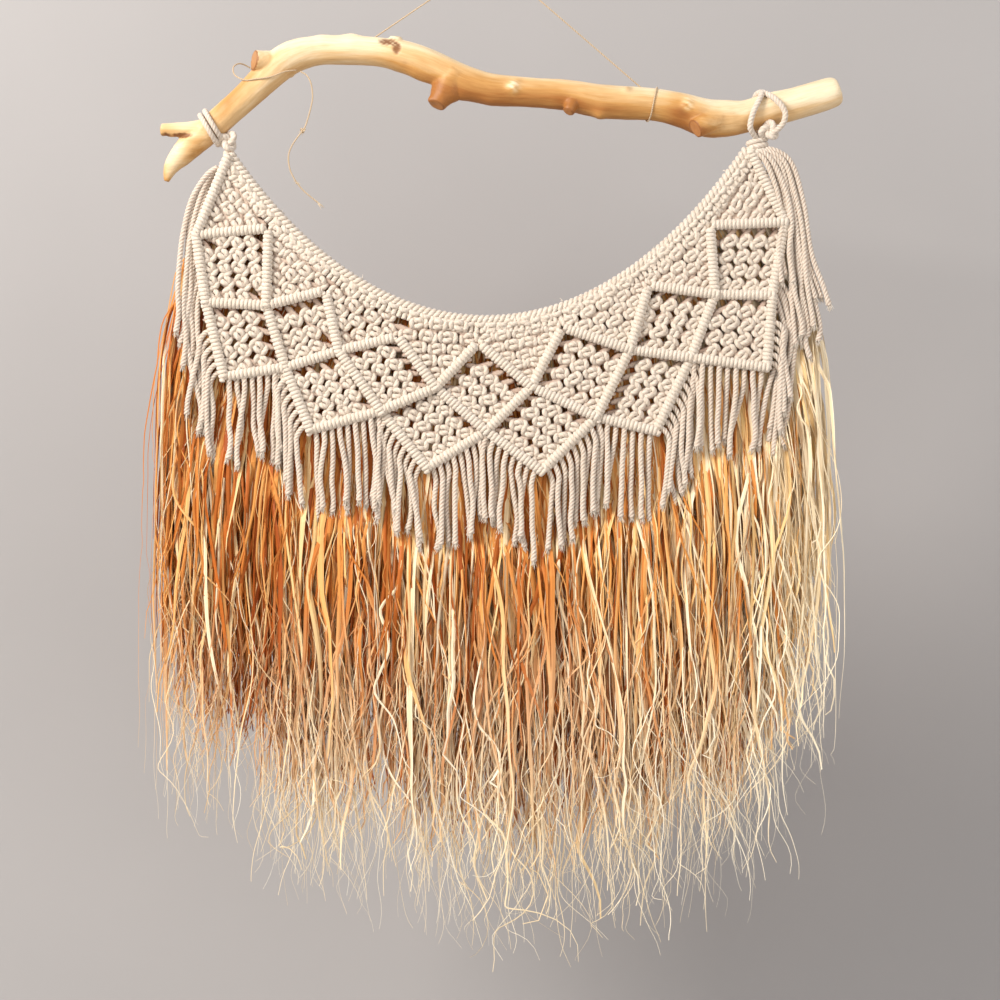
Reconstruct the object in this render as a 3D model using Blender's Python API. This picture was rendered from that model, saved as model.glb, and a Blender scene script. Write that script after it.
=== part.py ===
"""Macrame and raffia wall hanging on a driftwood branch.

A peeled branch hangs from a nail by a thin twine. A knotted cotton bib hangs
from the branch by two cord loops. Its neckline is a hanging cord, its knotted
panels are framed by ribs of hitches, and its lower edge carries a cut fringe.
A skirt of raffia hangs behind the bib from the same neckline.

The origin is the point where the twine passes over the nail. +X is to the
right and +Y is towards the wall. Design points are in millimetres at the
nominal span, and are stretched sideways when SPAN changes.
"""
import math

import bmesh
import bpy
from mathutils import Matrix, Vector

MM = 0.001

# Overall sizes, in millimetres.
SPAN = 399.1                 # between the two hanging knots
BIB_DROP = 1.0               # stretch of the bib's height below the knots
RAFFIA_LENGTH = 606.0        # from the knots to the lowest raffia tips

# Branch.
BRANCH_RADIUS = 12.0         # the size that each point's own ratio multiplies
CLEAR = 0.4                  # between pieces that touch

# The sizes that the design points are drawn for.
SPAN_NOMINAL = 399.1
RAFFIA_NOMINAL = 606.0
BRANCH_NOMINAL = 12.0
KNOT_NOMINAL = -137.0        # height of the lower knot

# Twine.
TWINE_RADIUS = 0.6
NAIL_RADIUS = 2.5            # of the twine's turn over the nail

# Hanging loops.
LOOP_CORD_RADIUS = 2.25
LOOP_CORD_PITCH = 5.2        # between the two cords of a loop
KNOT_RADIUS = 5.6
LOOP_STATIONS = (-207.0, 198.3)

# Bib.
RIM_RADIUS = 3.0
RIM_SAG = 126.0              # of the neckline, below its two ends
RIM_LEFT_SHIFT = 1.5         # of the neckline's left end, from the knot's middle
RIM_LEFT_GAP = 1.2           # from the left knot down to the neckline
RIM_RIGHT_GAP = 2.2          # from the right knot across to the neckline
RIM_RIGHT_DROP = 8.0         # of the neckline's right end, from the knot's middle
RIB_RADIUS = 4.0
RIB_END_GAP = 0.5            # more than CLEAR, from a rib's end to what it meets
RIB_BEND = 1.15              # width of a rib at its bend, as a share of its own
PANEL_THICKNESS = 6.0
FRINGE_THICKNESS = 4.5
FRINGE_LENGTH = 60.0
FRINGE_GAP = 2.6             # below a rib, so that the fringe can lift
FRINGE_SIDE_GAP = 1.2        # from a fringe to the line between two fringes
TASSEL_GAP = 1.4             # beside a rib
TASSEL_TIP_GAP = 4.2         # more than TASSEL_GAP, where a tassel passes a fringe

# Depths, from the middle of the branch. Negative is towards the front.
RIM_Y = -3.0
RIB_Y = -6.0
PANEL_Y = {"front": -8.5, "middle": -6.0, "back": -4.2}
FRINGE_Y = -6.25
RAFFIA_FRONT_Y = 0.6
RAFFIA_THICKNESS = 6.0
RAFFIA_INSET = 3.0           # from the neckline's ends to the skirt
SECTION_GAP = 5.6            # between two raffia sections

# The lines that the soft pieces swing about.
BIB_SWING_Y = 2.2            # depth of the line through both knots
SWING_LIFT = 0.5             # from the top of a fringe or tassel up to its line

COLOURS = {
    "driftwood": ((0.78, 0.55, 0.31), 0.62),
    "jute_twine": ((0.66, 0.50, 0.33), 0.85),
    "cotton_cord": ((0.86, 0.79, 0.70), 0.92),
    "raffia": ((0.74, 0.44, 0.20), 0.70),
}

# Branch centre line: across, up, and radius as a share of BRANCH_RADIUS.
BRANCH = [
    (-214, -131, 0.84), (-188, -107.6, 0.85), (-169, -89.6, 0.96), (-153, -76, 1.04),
    (-133, -69.4, 0.92), (-109, -68.3, 0.92), (-83, -70, 0.92), (-64, -74, 1.0),
    (-45, -80.6, 1.0), (-21, -92, 1.04), (0, -98, 1.0), (26, -100, 0.90), (56, -102.4, 0.93),
    (82, -107, 1.04), (110, -108.4, 1.02), (127, -110, 1.0), (146, -114.4, 1.07),
    (162, -119.6, 1.17), (177, -119.6, 1.12), (192, -118, 1.0), (210, -113, 1.02),
    (232, -107.6, 1.0), (256, -100, 0.96), (261.5, -98.2, 0.72),
]

# Side growths of the branch: a list of (across, depth, up, radius).
PRONGS = {
    "upper_prong": [(-206, 0, -124, 6.6), (-221.6, -1, -128.2, 6.2), (-247, -2, -128.6, 4.6)],
    "lower_prong": [(-204, 0, -124, 8.8), (-218, 0, -134.5, 9.4), (-230, 0.5, -145, 8.4),
                    (-239.5, 1, -156, 5.6), (-243.4, 1.5, -166, 2.4)],
    "sawn_stub": [(-152, 3, -79.6, 8.4), (-163, -2, -78.6, 8.2), (-177, -8.5, -77.4, 7.5)],
    "blunt_stub": [(-34, -2, -89, 9.0), (-37, -5, -102, 8.0), (-39.5, -7, -112.5, 6.6)],
    "side_stub": [(174, -3, -119, 8.6), (164, -8, -123.5, 8.0), (152.5, -13, -129.5, 7.0)],
    "small_stub": [(61, -4, -104, 5.6), (58, -10, -116.5, 4.0)],
    "crest_bump": [(-72, -1, -68, 6.5), (-71, -2, -58.6, 4.4)],
}
# The hanging twine's loose loop beside the sawn stub: across, depth and height
SIDE_LOOP = [(-172, 13, -86), (-181.5, 11.5, -80), (-188.5, 7, -77.5), (-193, 1, -81),
             (-191.5, -4.5, -88)]

# Corners of the knotted lattice: across and up. Row J lies under the neckline.
ROW_J = [None, (-166, -203), (-123.4, -249.4), (-69.4, -284), (-9.4, -288.4), (53.6, -277),
         (118, -245.6), (164, -200.6), None]
ROW_K = [(-220, -208), (-167.6, -260.6), (-113.6, -294.4), (-41, -322), (30.4, -321.4),
         (104, -293.6), (167.6, -252.4), (220, -198.4)]
ROW_M = [(-212.6, -258.4), (-153.4, -307), (-82, -339.4), (-3.4, -354.4), (79, -344),
         (149.6, -299.6), (210.4, -253)]
ROW_N = [(-199, -314), (-134.6, -353.6), (-47.6, -382), (38, -384.4), (123.4, -354.4),
         (206, -307)]
RIM_LEVELS = ["middle", "middle", "back", "front", "middle", "front", "middle", "back"]
UPPER_LEVELS = ["front", "back", "front", "middle", "front", "middle", "back"]
LOWER_LEVELS = ["front", "front", "back", "front", "back", "front"]

# Outer edges of the side tassels and of the raffia skirt: across and up.
LEFT_TASSEL = [(-214, -160), (-224, -168), (-237, -205), (-240, -252), (-243, -300),
               (-232, -362), (-213, -366)]
RIGHT_TASSEL = [(212, -156), (224, -162), (238, -188), (246, -222), (256, -264),
                (252, -300), (240, -342), (221, -346)]
RAFFIA_LEFT = [(-204, -160), (-228, -184), (-246, -232), (-254, -290), (-258, -370),
               (-261, -440), (-260, -519), (-254, -585), (-237, -631), (-189, -674), (-137, -704)]
RAFFIA_RIGHT = [(125, -731), (178, -708), (215, -668), (247, -620), (264, -555), (270, -466),
                (268, -406), (262, -331), (250, -264), (236, -212), (212, -160)]
RAFFIA_LEFT_EDGE = -724.0    # lowest point at the seam of left and centre
RAFFIA_RIGHT_EDGE = -741.0   # lowest point at the seam of centre and right
RAFFIA_MIDDLE = [(-39, -741), (28, -743)]
SEAM = 75.0                  # from the middle to each seam

# The twine's last place on the branch: across, and degrees round it.
TWINE_LEAVES = (-150, -58)

# The loose end of the twine: across, depth and up.
TAIL_ROOT = (-148.2, -8.5, -89.6)    # where the taut twine ends
TAIL = [(-145.1, -8.5, -90.6), (-140.5, -9, -93.4), (-137.2, -9.2, -99.5), (-136, -9, -109),
        (-137, -8.6, -116), (-139.4, -8.2, -125), (-142, -8, -132.4), (-146.6, -8, -138.6),
        (-151, -8.2, -145), (-153.8, -8.6, -152), (-153.9, -9, -159), (-152, -9.2, -166.4),
        (-147.6, -9, -174), (-142.4, -8.8, -180), (-137, -8.6, -184.6), (-131, -8.5, -189.4)]


def across(x):
    """A design distance across, in metres at this span."""
    return x * MM * SPAN / SPAN_NOMINAL


def smooth_path(points, steps):
    """Points of a Catmull-Rom curve through the given vectors."""
    result = []
    last = len(points) - 1
    for i in range(last):
        before = points[max(i - 1, 0)]
        after = points[min(i + 2, last)]
        start, end = points[i], points[i + 1]
        for k in range(steps):
            t = k / steps
            result.append(0.5 * (2 * start + (end - before) * t
                                 + (2 * before - 5 * start + 4 * end - after) * t ** 2
                                 + (3 * start - before - 3 * end + after) * t ** 3))
    result.append(points[last])
    return result


BRANCH_PATH = smooth_path([Vector((across(x), up * MM, share * BRANCH_RADIUS * MM))
                           for x, up, share in BRANCH], 3)


def branch_at(x):
    """Centre, direction and radius of the branch at a place across, in metres."""
    for start, end in zip(BRANCH_PATH, BRANCH_PATH[1:]):
        if x <= end.x or end is BRANCH_PATH[-1]:
            t = (x - start.x) / (end.x - start.x)
            at = start.lerp(end, t)
            return (Vector((x, 0, at.y)),
                    Vector((end.x - start.x, 0, end.y - start.y)).normalized(), at.z)


def on_branch(x, degrees, away):
    """A point round the branch: 0 degrees is its front and 90 its top."""
    centre, along, radius = branch_at(across(x))
    upward = Vector((-along.z, 0, along.x))
    angle = math.radians(degrees)
    return centre + (radius + away * MM) * (Vector((0, -math.cos(angle), 0))
                                            + upward * math.sin(angle))


def beside_branch(point):
    """A design point near the branch, which moves out as the branch grows."""
    x, y, up = point
    centre = branch_at(across(x))[0]
    place = Vector((across(x), y * MM, up * MM))
    return centre + (place - centre) * BRANCH_RADIUS / BRANCH_NOMINAL


def knot_centre(station):
    """Where a loop's knot hangs under the branch."""
    return on_branch(station, -90, CLEAR + KNOT_RADIUS)


KNOTS = [knot_centre(station) for station in LOOP_STATIONS]
KNOT_LEVEL = min(knot.z for knot in KNOTS)


def below(up):
    """A design height under the knots, in metres at this drop."""
    return KNOT_LEVEL + (up - KNOT_NOMINAL) * MM * BIB_DROP


def flat(point):
    """A design point as a flat vector in metres: across and up."""
    return Vector((across(point[0]), below(point[1])))


RIM_START = Vector((KNOTS[0].x + RIM_LEFT_SHIFT * MM,
                    KNOTS[0].z - (KNOT_RADIUS + RIM_RADIUS + RIM_LEFT_GAP) * MM))
RIM_END = Vector((KNOTS[1].x - (KNOT_RADIUS + RIM_RADIUS + RIM_RIGHT_GAP) * MM,
                  KNOTS[1].z - RIM_RIGHT_DROP * MM))


def catenary_size(half_span, sag):
    """The parameter of a catenary with this half span and sag."""
    low, high = half_span * 0.2, half_span * 50
    for _ in range(80):
        middle = (low + high) / 2
        if middle * (math.cosh(half_span / middle) - 1) > sag:
            low = middle
        else:
            high = middle
    return low


RIM_MIDDLE = (RIM_START.x + RIM_END.x) / 2
RIM_HALF = (RIM_END.x - RIM_START.x) / 2
RIM_SIZE = catenary_size(RIM_HALF, RIM_SAG * MM * BIB_DROP)
RIM_TILT = (RIM_END.y - RIM_START.y) / (2 * RIM_HALF)


def rim_height(x):
    """Height of the neckline cord at a place across, in metres."""
    sag = RIM_SIZE * (math.cosh(RIM_HALF / RIM_SIZE) - math.cosh((x - RIM_MIDDLE) / RIM_SIZE))
    return RIM_START.y + RIM_TILT * (x - RIM_START.x) - sag


def rim_point_above(corner):
    """The neckline's nearest point to a corner of the lattice."""
    steps = 400
    places = [RIM_START.x + 2 * RIM_HALF * k / steps for k in range(steps + 1)]
    best = min(places, key=lambda x: (Vector((x, rim_height(x))) - corner).length)
    return Vector((best, rim_height(best)))


def rim_chain(start, end, count):
    """Points along the neckline between two places across."""
    places = [start + (end - start) * k / count for k in range(count + 1)]
    return [Vector((x, rim_height(x))) for x in places]


def give_material(piece, finish):
    colour, roughness = COLOURS[finish]
    material = bpy.data.materials.new(piece.name + "_" + finish)
    material.use_nodes = True
    shader = material.node_tree.nodes["Principled BSDF"]
    shader.inputs["Base Color"].default_value = (*colour, 1)
    shader.inputs["Roughness"].default_value = roughness
    shader.inputs["Metallic"].default_value = 0.0
    piece.data.materials.clear()
    piece.data.materials.append(material)


def tube(name, points, radius, shares=None, cyclic=False, sides=2):
    """A curve object with a round section; shares multiply the radius at each point."""
    curve = bpy.data.curves.new(name, "CURVE")
    curve.dimensions = "3D"
    curve.bevel_depth = radius
    curve.bevel_resolution = sides
    curve.use_fill_caps = not cyclic
    curve.twist_mode = "MINIMUM"
    spline = curve.splines.new("POLY")
    spline.points.add(len(points) - 1)
    spline.use_cyclic_u = cyclic
    for i, point in enumerate(points):
        spline.points[i].co = (*point, 1)
        spline.points[i].radius = shares[i] if shares else 1.0
    return bpy.data.objects.new(name, curve)


def plate(name, outline, depth, thickness, collection, finish):
    """A flat outline in the hanging's plane, given a thickness."""
    curve = bpy.data.curves.new(name, "CURVE")
    curve.dimensions = "2D"
    curve.fill_mode = "BOTH"
    curve.extrude = thickness * MM / 2
    spline = curve.splines.new("POLY")
    spline.points.add(len(outline) - 1)
    spline.use_cyclic_u = True
    for i, point in enumerate(outline):
        spline.points[i].co = (point.x, point.y, 0, 1)
    piece = bpy.data.objects.new(name, curve)
    piece.rotation_euler = (math.pi / 2, 0, 0)
    piece.location = (0, depth * MM, 0)
    collection.objects.link(piece)
    give_material(piece, finish)
    return piece


def as_mesh(curve_object, collection):
    """The closed mesh of a curve object, which it replaces."""
    collection.objects.link(curve_object)
    bpy.context.view_layer.update()
    graph = bpy.context.evaluated_depsgraph_get()
    mesh = bpy.data.meshes.new_from_object(curve_object.evaluated_get(graph))
    name, placed = curve_object.name, curve_object.matrix_world.copy()
    bpy.data.objects.remove(curve_object)
    solid = bmesh.new()
    solid.from_mesh(mesh)
    bmesh.ops.remove_doubles(solid, verts=solid.verts, dist=0.00001)
    bmesh.ops.recalc_face_normals(solid, faces=solid.faces)
    solid.to_mesh(mesh)
    solid.free()
    result = bpy.data.objects.new(name, mesh)
    result.matrix_world = placed
    collection.objects.link(result)
    return result


def unite(piece, others):
    """Boolean union of a mesh object with the cutters that are joined to it."""
    for other in others:
        other.hide_render = True
        other.display_type = "WIRE"
        joined = piece.modifiers.new("join_" + other.name, "BOOLEAN")
        joined.operation = "UNION"
        joined.solver = "EXACT"
        joined.object = other


def make_branch(parts, cutters):
    points = [Vector((p.x, 0, p.y)) for p in BRANCH_PATH]
    shares = [p.z / (BRANCH_RADIUS * MM) for p in BRANCH_PATH]
    branch = as_mesh(tube("driftwood_branch", points, BRANCH_RADIUS * MM, shares, sides=4), parts)
    give_material(branch, "driftwood")
    grown = []
    for name, route in PRONGS.items():
        path = [Vector((across(x), y * MM, up * MM)) for x, y, up, _ in route]
        sizes = [radius * BRANCH_RADIUS / BRANCH_NOMINAL for _, _, _, radius in route]
        grown.append(as_mesh(tube(name, path, MM, sizes, sides=3), cutters))
    unite(branch, grown)


def make_hanging_twine(parts):
    touch = TWINE_RADIUS + CLEAR
    over_nail = [Vector((NAIL_RADIUS * MM * math.cos(a), 0, NAIL_RADIUS * MM * (math.sin(a) - 1)))
                 for a in [math.radians(30 + 20 * k) for k in range(7)]]
    left = [on_branch(-100, 165, touch), on_branch(-128, 180, touch), on_branch(-160, 180, touch),
            on_branch(-178, 42, touch), on_branch(-174, 14, touch), on_branch(-167, -18, touch),
            on_branch(-158, -38, touch), on_branch(*TWINE_LEAVES, touch)]
    left[3:3] = [beside_branch(point) for point in SIDE_LOOP]
    right = [on_branch(112, 108, touch), on_branch(113.5, 140, touch), on_branch(115, 180, touch),
             on_branch(117, 225, touch), on_branch(119, 270, touch), on_branch(120.5, 315, touch),
             on_branch(121.5, 0, touch), on_branch(122.3, 45, touch), on_branch(123, 90, touch),
             on_branch(124, 135, touch), on_branch(125, 180, touch), on_branch(126, 215, touch)]
    down_left = [over_nail[-1].lerp(left[0], t) for t in (0.3, 0.6, 0.85)]
    down_right = [over_nail[0].lerp(right[0], t) for t in (0.3, 0.6, 0.85)]
    route = smooth_path(list(reversed(right)), 3)[:-1] + [right[0]] + list(reversed(down_right))
    route += over_nail + down_left + smooth_path(left, 3)
    twine = tube("hanging_twine", route, TWINE_RADIUS * MM)
    parts.objects.link(twine)
    give_material(twine, "jute_twine")


def make_twine_tail(parts):
    x, y, up = TAIL_ROOT
    root = Vector((across(x), y * MM, up * MM))
    shift = on_branch(*TWINE_LEAVES, TWINE_RADIUS + CLEAR) - root
    points = [Vector((across(x), y * MM, up * MM)) + shift for x, y, up in TAIL]
    tail = tube("twine_tail", smooth_path(points, 2), TWINE_RADIUS * MM)
    parts.objects.link(tail)
    give_material(tail, "jute_twine")


def make_loop(name, station, parts, cutters):
    """Two cord rings round the branch, tied in one knot under it."""
    knot_at = knot_centre(station)
    bpy.ops.mesh.primitive_uv_sphere_add(segments=14, ring_count=9, radius=KNOT_RADIUS * MM,
                                         location=knot_at)
    knot = bpy.context.object
    knot.name = name
    for holder in list(knot.users_collection):
        holder.objects.unlink(knot)
    parts.objects.link(knot)
    give_material(knot, "cotton_cord")
    rings = []
    centre, along, radius = branch_at(across(station))
    upward = Vector((-along.z, 0, along.x))
    reach = radius + (LOOP_CORD_RADIUS + 2.2 * CLEAR) * MM
    for side in (-0.5, 0.5):
        middle = centre + along * side * LOOP_CORD_PITCH * MM
        turn = [middle + reach * (Vector((0, -math.cos(a), 0)) + upward * math.sin(a))
                for a in [2 * math.pi * k / 24 for k in range(24)]]
        ring = tube(name + "_ring", turn, LOOP_CORD_RADIUS * MM, cyclic=True)
        rings.append(as_mesh(ring, cutters))
    unite(knot, rings)


def make_rim(parts):
    points = [Vector((p.x, RIM_Y * MM, p.y)) for p in rim_chain(RIM_START.x, RIM_END.x, 36)]
    rim = tube("rim_cord", points, RIM_RADIUS * MM)
    parts.objects.link(rim)
    give_material(rim, "cotton_cord")


def lattice():
    """The four rows of lattice corners, in metres."""
    rows = {}
    for name, row in (("J", ROW_J), ("K", ROW_K), ("M", ROW_M), ("N", ROW_N)):
        rows[name] = [flat(point) if point else None for point in row]
    rows["J"][0] = RIM_START.copy()
    rows["J"][-1] = RIM_END.copy()
    return rows


def inset(outline, distances):
    """An outline, anticlockwise, with each edge moved inwards by its own distance."""
    count = len(outline)
    lines = []
    for i in range(count):
        start, end = outline[i], outline[(i + 1) % count]
        along = (end - start).normalized()
        inward = Vector((-along.y, along.x))
        lines.append((start + inward * distances[i], along))
    result = []
    for i in range(count):
        (p, d), (q, e) = lines[i - 1], lines[i]
        cross = d.x * e.y - d.y * e.x
        if abs(cross) < 0.02:
            result.append(q)
        else:
            t = ((q.x - p.x) * e.y - (q.y - p.y) * e.x) / cross
            result.append(p + d * t)
    return result


def make_panels(rows, parts):
    """The knotted cloth of each panel, between the ribs that frame it."""
    beside_rib = (RIB_RADIUS + CLEAR) * MM
    beside_rim = (RIM_RADIUS + CLEAR) * MM
    beside_panel = CLEAR * MM
    j, k, m, n = rows["J"], rows["K"], rows["M"], rows["N"]
    for i in range(8):
        left = rim_point_above(j[i]).x
        right = rim_point_above(j[i + 1]).x
        chain = list(reversed(rim_chain(left, right, 6)))
        corner_left, corner_right = [j[i]], [j[i + 1]]
        sides = [beside_rib, beside_rib, beside_panel] + [beside_rim] * 6 + [beside_panel]
        if i == 0:
            chain = list(reversed(rim_chain(left, right, 4)))
            sides = [beside_rib, beside_rib, beside_panel] + [beside_rim] * 4
            outline = corner_left + [k[i]] + corner_right + chain[:-1]
        elif i == 7:
            chain = list(reversed(rim_chain(left, right, 4)))
            sides = [beside_rib, beside_rib] + [beside_rim] * 4 + [beside_panel]
            outline = corner_left + [k[i]] + chain
        else:
            outline = corner_left + [k[i]] + corner_right + chain
        plate("rim_panel_%d" % (i + 1), inset(outline, sides), PANEL_Y[RIM_LEVELS[i]],
              PANEL_THICKNESS, parts, "cotton_cord")
    for i in range(7):
        outline = [j[i + 1], k[i], m[i], k[i + 1]]
        plate("upper_panel_%d" % (i + 1), inset(outline, [beside_rib] * 4),
              PANEL_Y[UPPER_LEVELS[i]], PANEL_THICKNESS, parts, "cotton_cord")
    for i in range(6):
        outline = [k[i + 1], m[i], n[i], m[i + 1]]
        plate("lower_panel_%d" % (i + 1), inset(outline, [beside_rib] * 4),
              PANEL_Y[LOWER_LEVELS[i]], PANEL_THICKNESS, parts, "cotton_cord")


def setback(direction, others):
    """How far a rib's end stays from a corner so that it clears the other arms there."""
    distance = (RIB_RADIUS + CLEAR) * MM
    for other in others:
        turn = direction.angle(other)
        if turn < math.pi / 2:
            reach = (RIB_RADIUS + CLEAR + RIB_RADIUS * math.cos(turn)) * MM / math.sin(turn)
            distance = max(distance, reach)
    return distance + RIB_END_GAP * MM


def make_ribs(rows, parts):
    """One V of hitches along the two lower sides of each panel."""
    j, k, m, n = rows["J"], rows["K"], rows["M"], rows["N"]
    ribs = [("rim_rib_%d" % (i + 1), j[i], k[i], j[i + 1]) for i in range(8)]
    ribs += [("upper_rib_%d" % (i + 1), k[i], m[i], k[i + 1]) for i in range(7)]
    ribs += [("lower_rib_%d" % (i + 1), m[i], n[i], m[i + 1]) for i in range(6)]
    slope = [(rim_chain(RIM_START.x, RIM_END.x, 36)[s] - rim_chain(RIM_START.x, RIM_END.x, 36)[e])
             .normalized() for s, e in ((2, 0), (-3, -1))]
    for name, start, tip, end in ribs:
        arms = []
        for corner in (start, end):
            others = []
            for _, a, b, c in ribs:
                for p, q in ((a, b), (b, a), (b, c), (c, b)):
                    if (p - corner).length < 1e-6 and (q - tip).length > 1e-6:
                        others.append((q - p).normalized())
            if (corner - RIM_START).length < 1e-6:
                others.append(slope[0])
            if (corner - RIM_END).length < 1e-6:
                others.append(slope[1])
            direction = (tip - corner).normalized()
            arms.append(corner + direction * setback(direction, others))
        points = [Vector((p.x, RIB_Y * MM, p.y)) for p in (arms[0], tip, arms[1])]
        rib = tube(name, points, RIB_RADIUS * MM)
        parts.objects.link(rib)
        give_material(rib, "cotton_cord")


def make_fringe(rows, parts):
    """The cut cord ends that hang under each lower V."""
    m, n = rows["M"], rows["N"]
    for i in range(6):
        from_left = 0.9 if i == 0 else 0.04
        from_right = 0.9 if i == 5 else 0.04
        left, tip, right = m[i].lerp(n[i], from_left), n[i], m[i + 1].lerp(n[i], from_right)
        away = (RIB_RADIUS + FRINGE_GAP) * MM
        tops = []
        for start, end in ((left, tip), (tip, right)):
            along = (end - start).normalized()
            down = Vector((along.y, -along.x))
            tops.append((start + down * away, along))
        (p, d), (q, e) = tops
        cross = d.x * e.y - d.y * e.x
        t = ((q.x - p.x) * e.y - (q.y - p.y) * e.x) / cross
        middle = p + d * t
        gap = FRINGE_SIDE_GAP * MM
        first = p if i == 0 else p + d * (left.x + gap - p.x) / d.x
        end_along = (right - tip).dot(e) if i == 5 else (right.x - gap - q.x) / e.x
        last = q + e * end_along
        drop = Vector((0, -FRINGE_LENGTH * MM))
        outline = [first, middle, last, last + drop, middle + drop, first + drop]
        plate("fringe_%d" % (i + 1), list(reversed(outline)), FRINGE_Y, FRINGE_THICKNESS, parts,
              "cotton_cord")


def beside(corner, side, extra=0.0):
    """A point level with a lattice corner, clear of the rib there."""
    return corner + Vector((side * (RIB_RADIUS * RIB_BEND + TASSEL_GAP + extra) * MM, 0))


def make_tassels(rows, parts):
    k, m, n = rows["K"], rows["M"], rows["N"]
    outline = [flat(point) for point in LEFT_TASSEL]
    outline += [beside(n[0], -1, TASSEL_TIP_GAP), beside(m[0], -1), beside(k[0], -1)]
    plate("left_side_tassel", outline, FRINGE_Y, FRINGE_THICKNESS, parts, "cotton_cord")
    outline = [flat(point) for point in RIGHT_TASSEL]
    outline += [beside(n[5], 1, TASSEL_TIP_GAP), beside(m[6], 1), beside(k[7], 1)]
    plate("right_side_tassel", outline, FRINGE_Y, FRINGE_THICKNESS, parts, "cotton_cord")


def skirt_point(point):
    """A raffia design point in metres, stretched to the skirt's length."""
    stretch = RAFFIA_LENGTH / RAFFIA_NOMINAL
    return Vector((across(point[0]), KNOT_LEVEL + (point[1] - KNOT_NOMINAL) * MM * stretch))


def make_raffia(parts):
    """Three sections of the skirt, side by side behind the bib."""
    half_gap = SECTION_GAP * MM / 2
    seams = (across(-SEAM), across(SEAM))
    depth = RAFFIA_FRONT_Y + RAFFIA_THICKNESS / 2
    starts = (RIM_START.x + RAFFIA_INSET * MM, RIM_END.x - RAFFIA_INSET * MM)

    outline = [skirt_point(point) for point in RAFFIA_LEFT]
    outline.append(Vector((seams[0] - half_gap, skirt_point((0, RAFFIA_LEFT_EDGE)).y)))
    outline += reversed(rim_chain(starts[0], seams[0] - half_gap, 6))
    plate("raffia_left", outline, depth, RAFFIA_THICKNESS, parts, "raffia")

    outline = [Vector((seams[0] + half_gap, skirt_point((0, RAFFIA_LEFT_EDGE)).y))]
    outline += [skirt_point(point) for point in RAFFIA_MIDDLE]
    outline.append(Vector((seams[1] - half_gap, skirt_point((0, RAFFIA_RIGHT_EDGE)).y)))
    outline += reversed(rim_chain(seams[0] + half_gap, seams[1] - half_gap, 8))
    plate("raffia_centre", outline, depth, RAFFIA_THICKNESS, parts, "raffia")

    outline = [Vector((seams[1] + half_gap, skirt_point((0, RAFFIA_RIGHT_EDGE)).y))]
    outline += [skirt_point(point) for point in RAFFIA_RIGHT]
    outline += reversed(rim_chain(seams[1] + half_gap, starts[1], 6))
    plate("raffia_right", outline, depth, RAFFIA_THICKNESS, parts, "raffia")


def add_pivot(name, place, pieces, parts):
    """An empty on the line that some pieces swing about, with the pieces parented to it."""
    pivot = bpy.data.objects.new(name, None)
    pivot.empty_display_size = 20 * MM
    pivot.location = place
    parts.objects.link(pivot)
    for piece in pieces:
        piece.parent = pivot
        piece.matrix_parent_inverse = Matrix.Translation(-place)
    return pivot


def over_top(piece):
    """The middle of the line just over a hanging plate's back edge."""
    points = [point.co for point in piece.data.splines[0].points]
    left, right = min(p.x for p in points), max(p.x for p in points)
    top = max(p.y for p in points)
    return Vector(((left + right) / 2, piece.location.y + piece.data.extrude,
                   top + SWING_LIFT * MM))


def neckline_between(start, end):
    """The middle of the straight line between two places on the neckline."""
    return Vector(((start + end) / 2, RAFFIA_FRONT_Y * MM, (rim_height(start) + rim_height(end)) / 2))


def add_pivots(parts):
    """One pivot for each piece that swings, all hung from the bib's own pivot."""
    half_gap = SECTION_GAP * MM / 2
    left, right = across(-SEAM), across(SEAM)
    spans = {
        "raffia_left": (RIM_START.x + RAFFIA_INSET * MM, left - half_gap),
        "raffia_centre": (left + half_gap, right - half_gap),
        "raffia_right": (right + half_gap, RIM_END.x - RAFFIA_INSET * MM),
    }
    pieces = {piece.name: piece for piece in parts.objects}
    on_bib = [piece for name, piece in pieces.items()
              if name == "rim_cord" or "_panel_" in name or "_rib_" in name]
    for name in ["fringe_%d" % (i + 1) for i in range(6)] + ["left_side_tassel", "right_side_tassel"]:
        on_bib.append(add_pivot(name + "_pivot", over_top(pieces[name]), [pieces[name]], parts))
    for name, span in spans.items():
        on_bib.append(add_pivot(name + "_pivot", neckline_between(*span), [pieces[name]], parts))
    middle = (KNOTS[0] + KNOTS[1]) / 2
    add_pivot("bib_pivot", Vector((middle.x, BIB_SWING_Y * MM, middle.z)), on_bib, parts)


def main():
    for old in list(bpy.data.objects):
        bpy.data.objects.remove(old)
    parts = bpy.data.collections.new("wall_hanging")
    cutters = bpy.data.collections.new("joined_shapes")
    bpy.context.scene.collection.children.link(parts)
    bpy.context.scene.collection.children.link(cutters)
    make_branch(parts, cutters)
    make_hanging_twine(parts)
    make_twine_tail(parts)
    make_loop("left_hanging_loop", LOOP_STATIONS[0], parts, cutters)
    make_loop("right_hanging_loop", LOOP_STATIONS[1], parts, cutters)
    make_rim(parts)
    rows = lattice()
    make_panels(rows, parts)
    make_ribs(rows, parts)
    make_fringe(rows, parts)
    make_tassels(rows, parts)
    make_raffia(parts)
    add_pivots(parts)


main()
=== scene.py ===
import math
from collections import namedtuple

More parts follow.
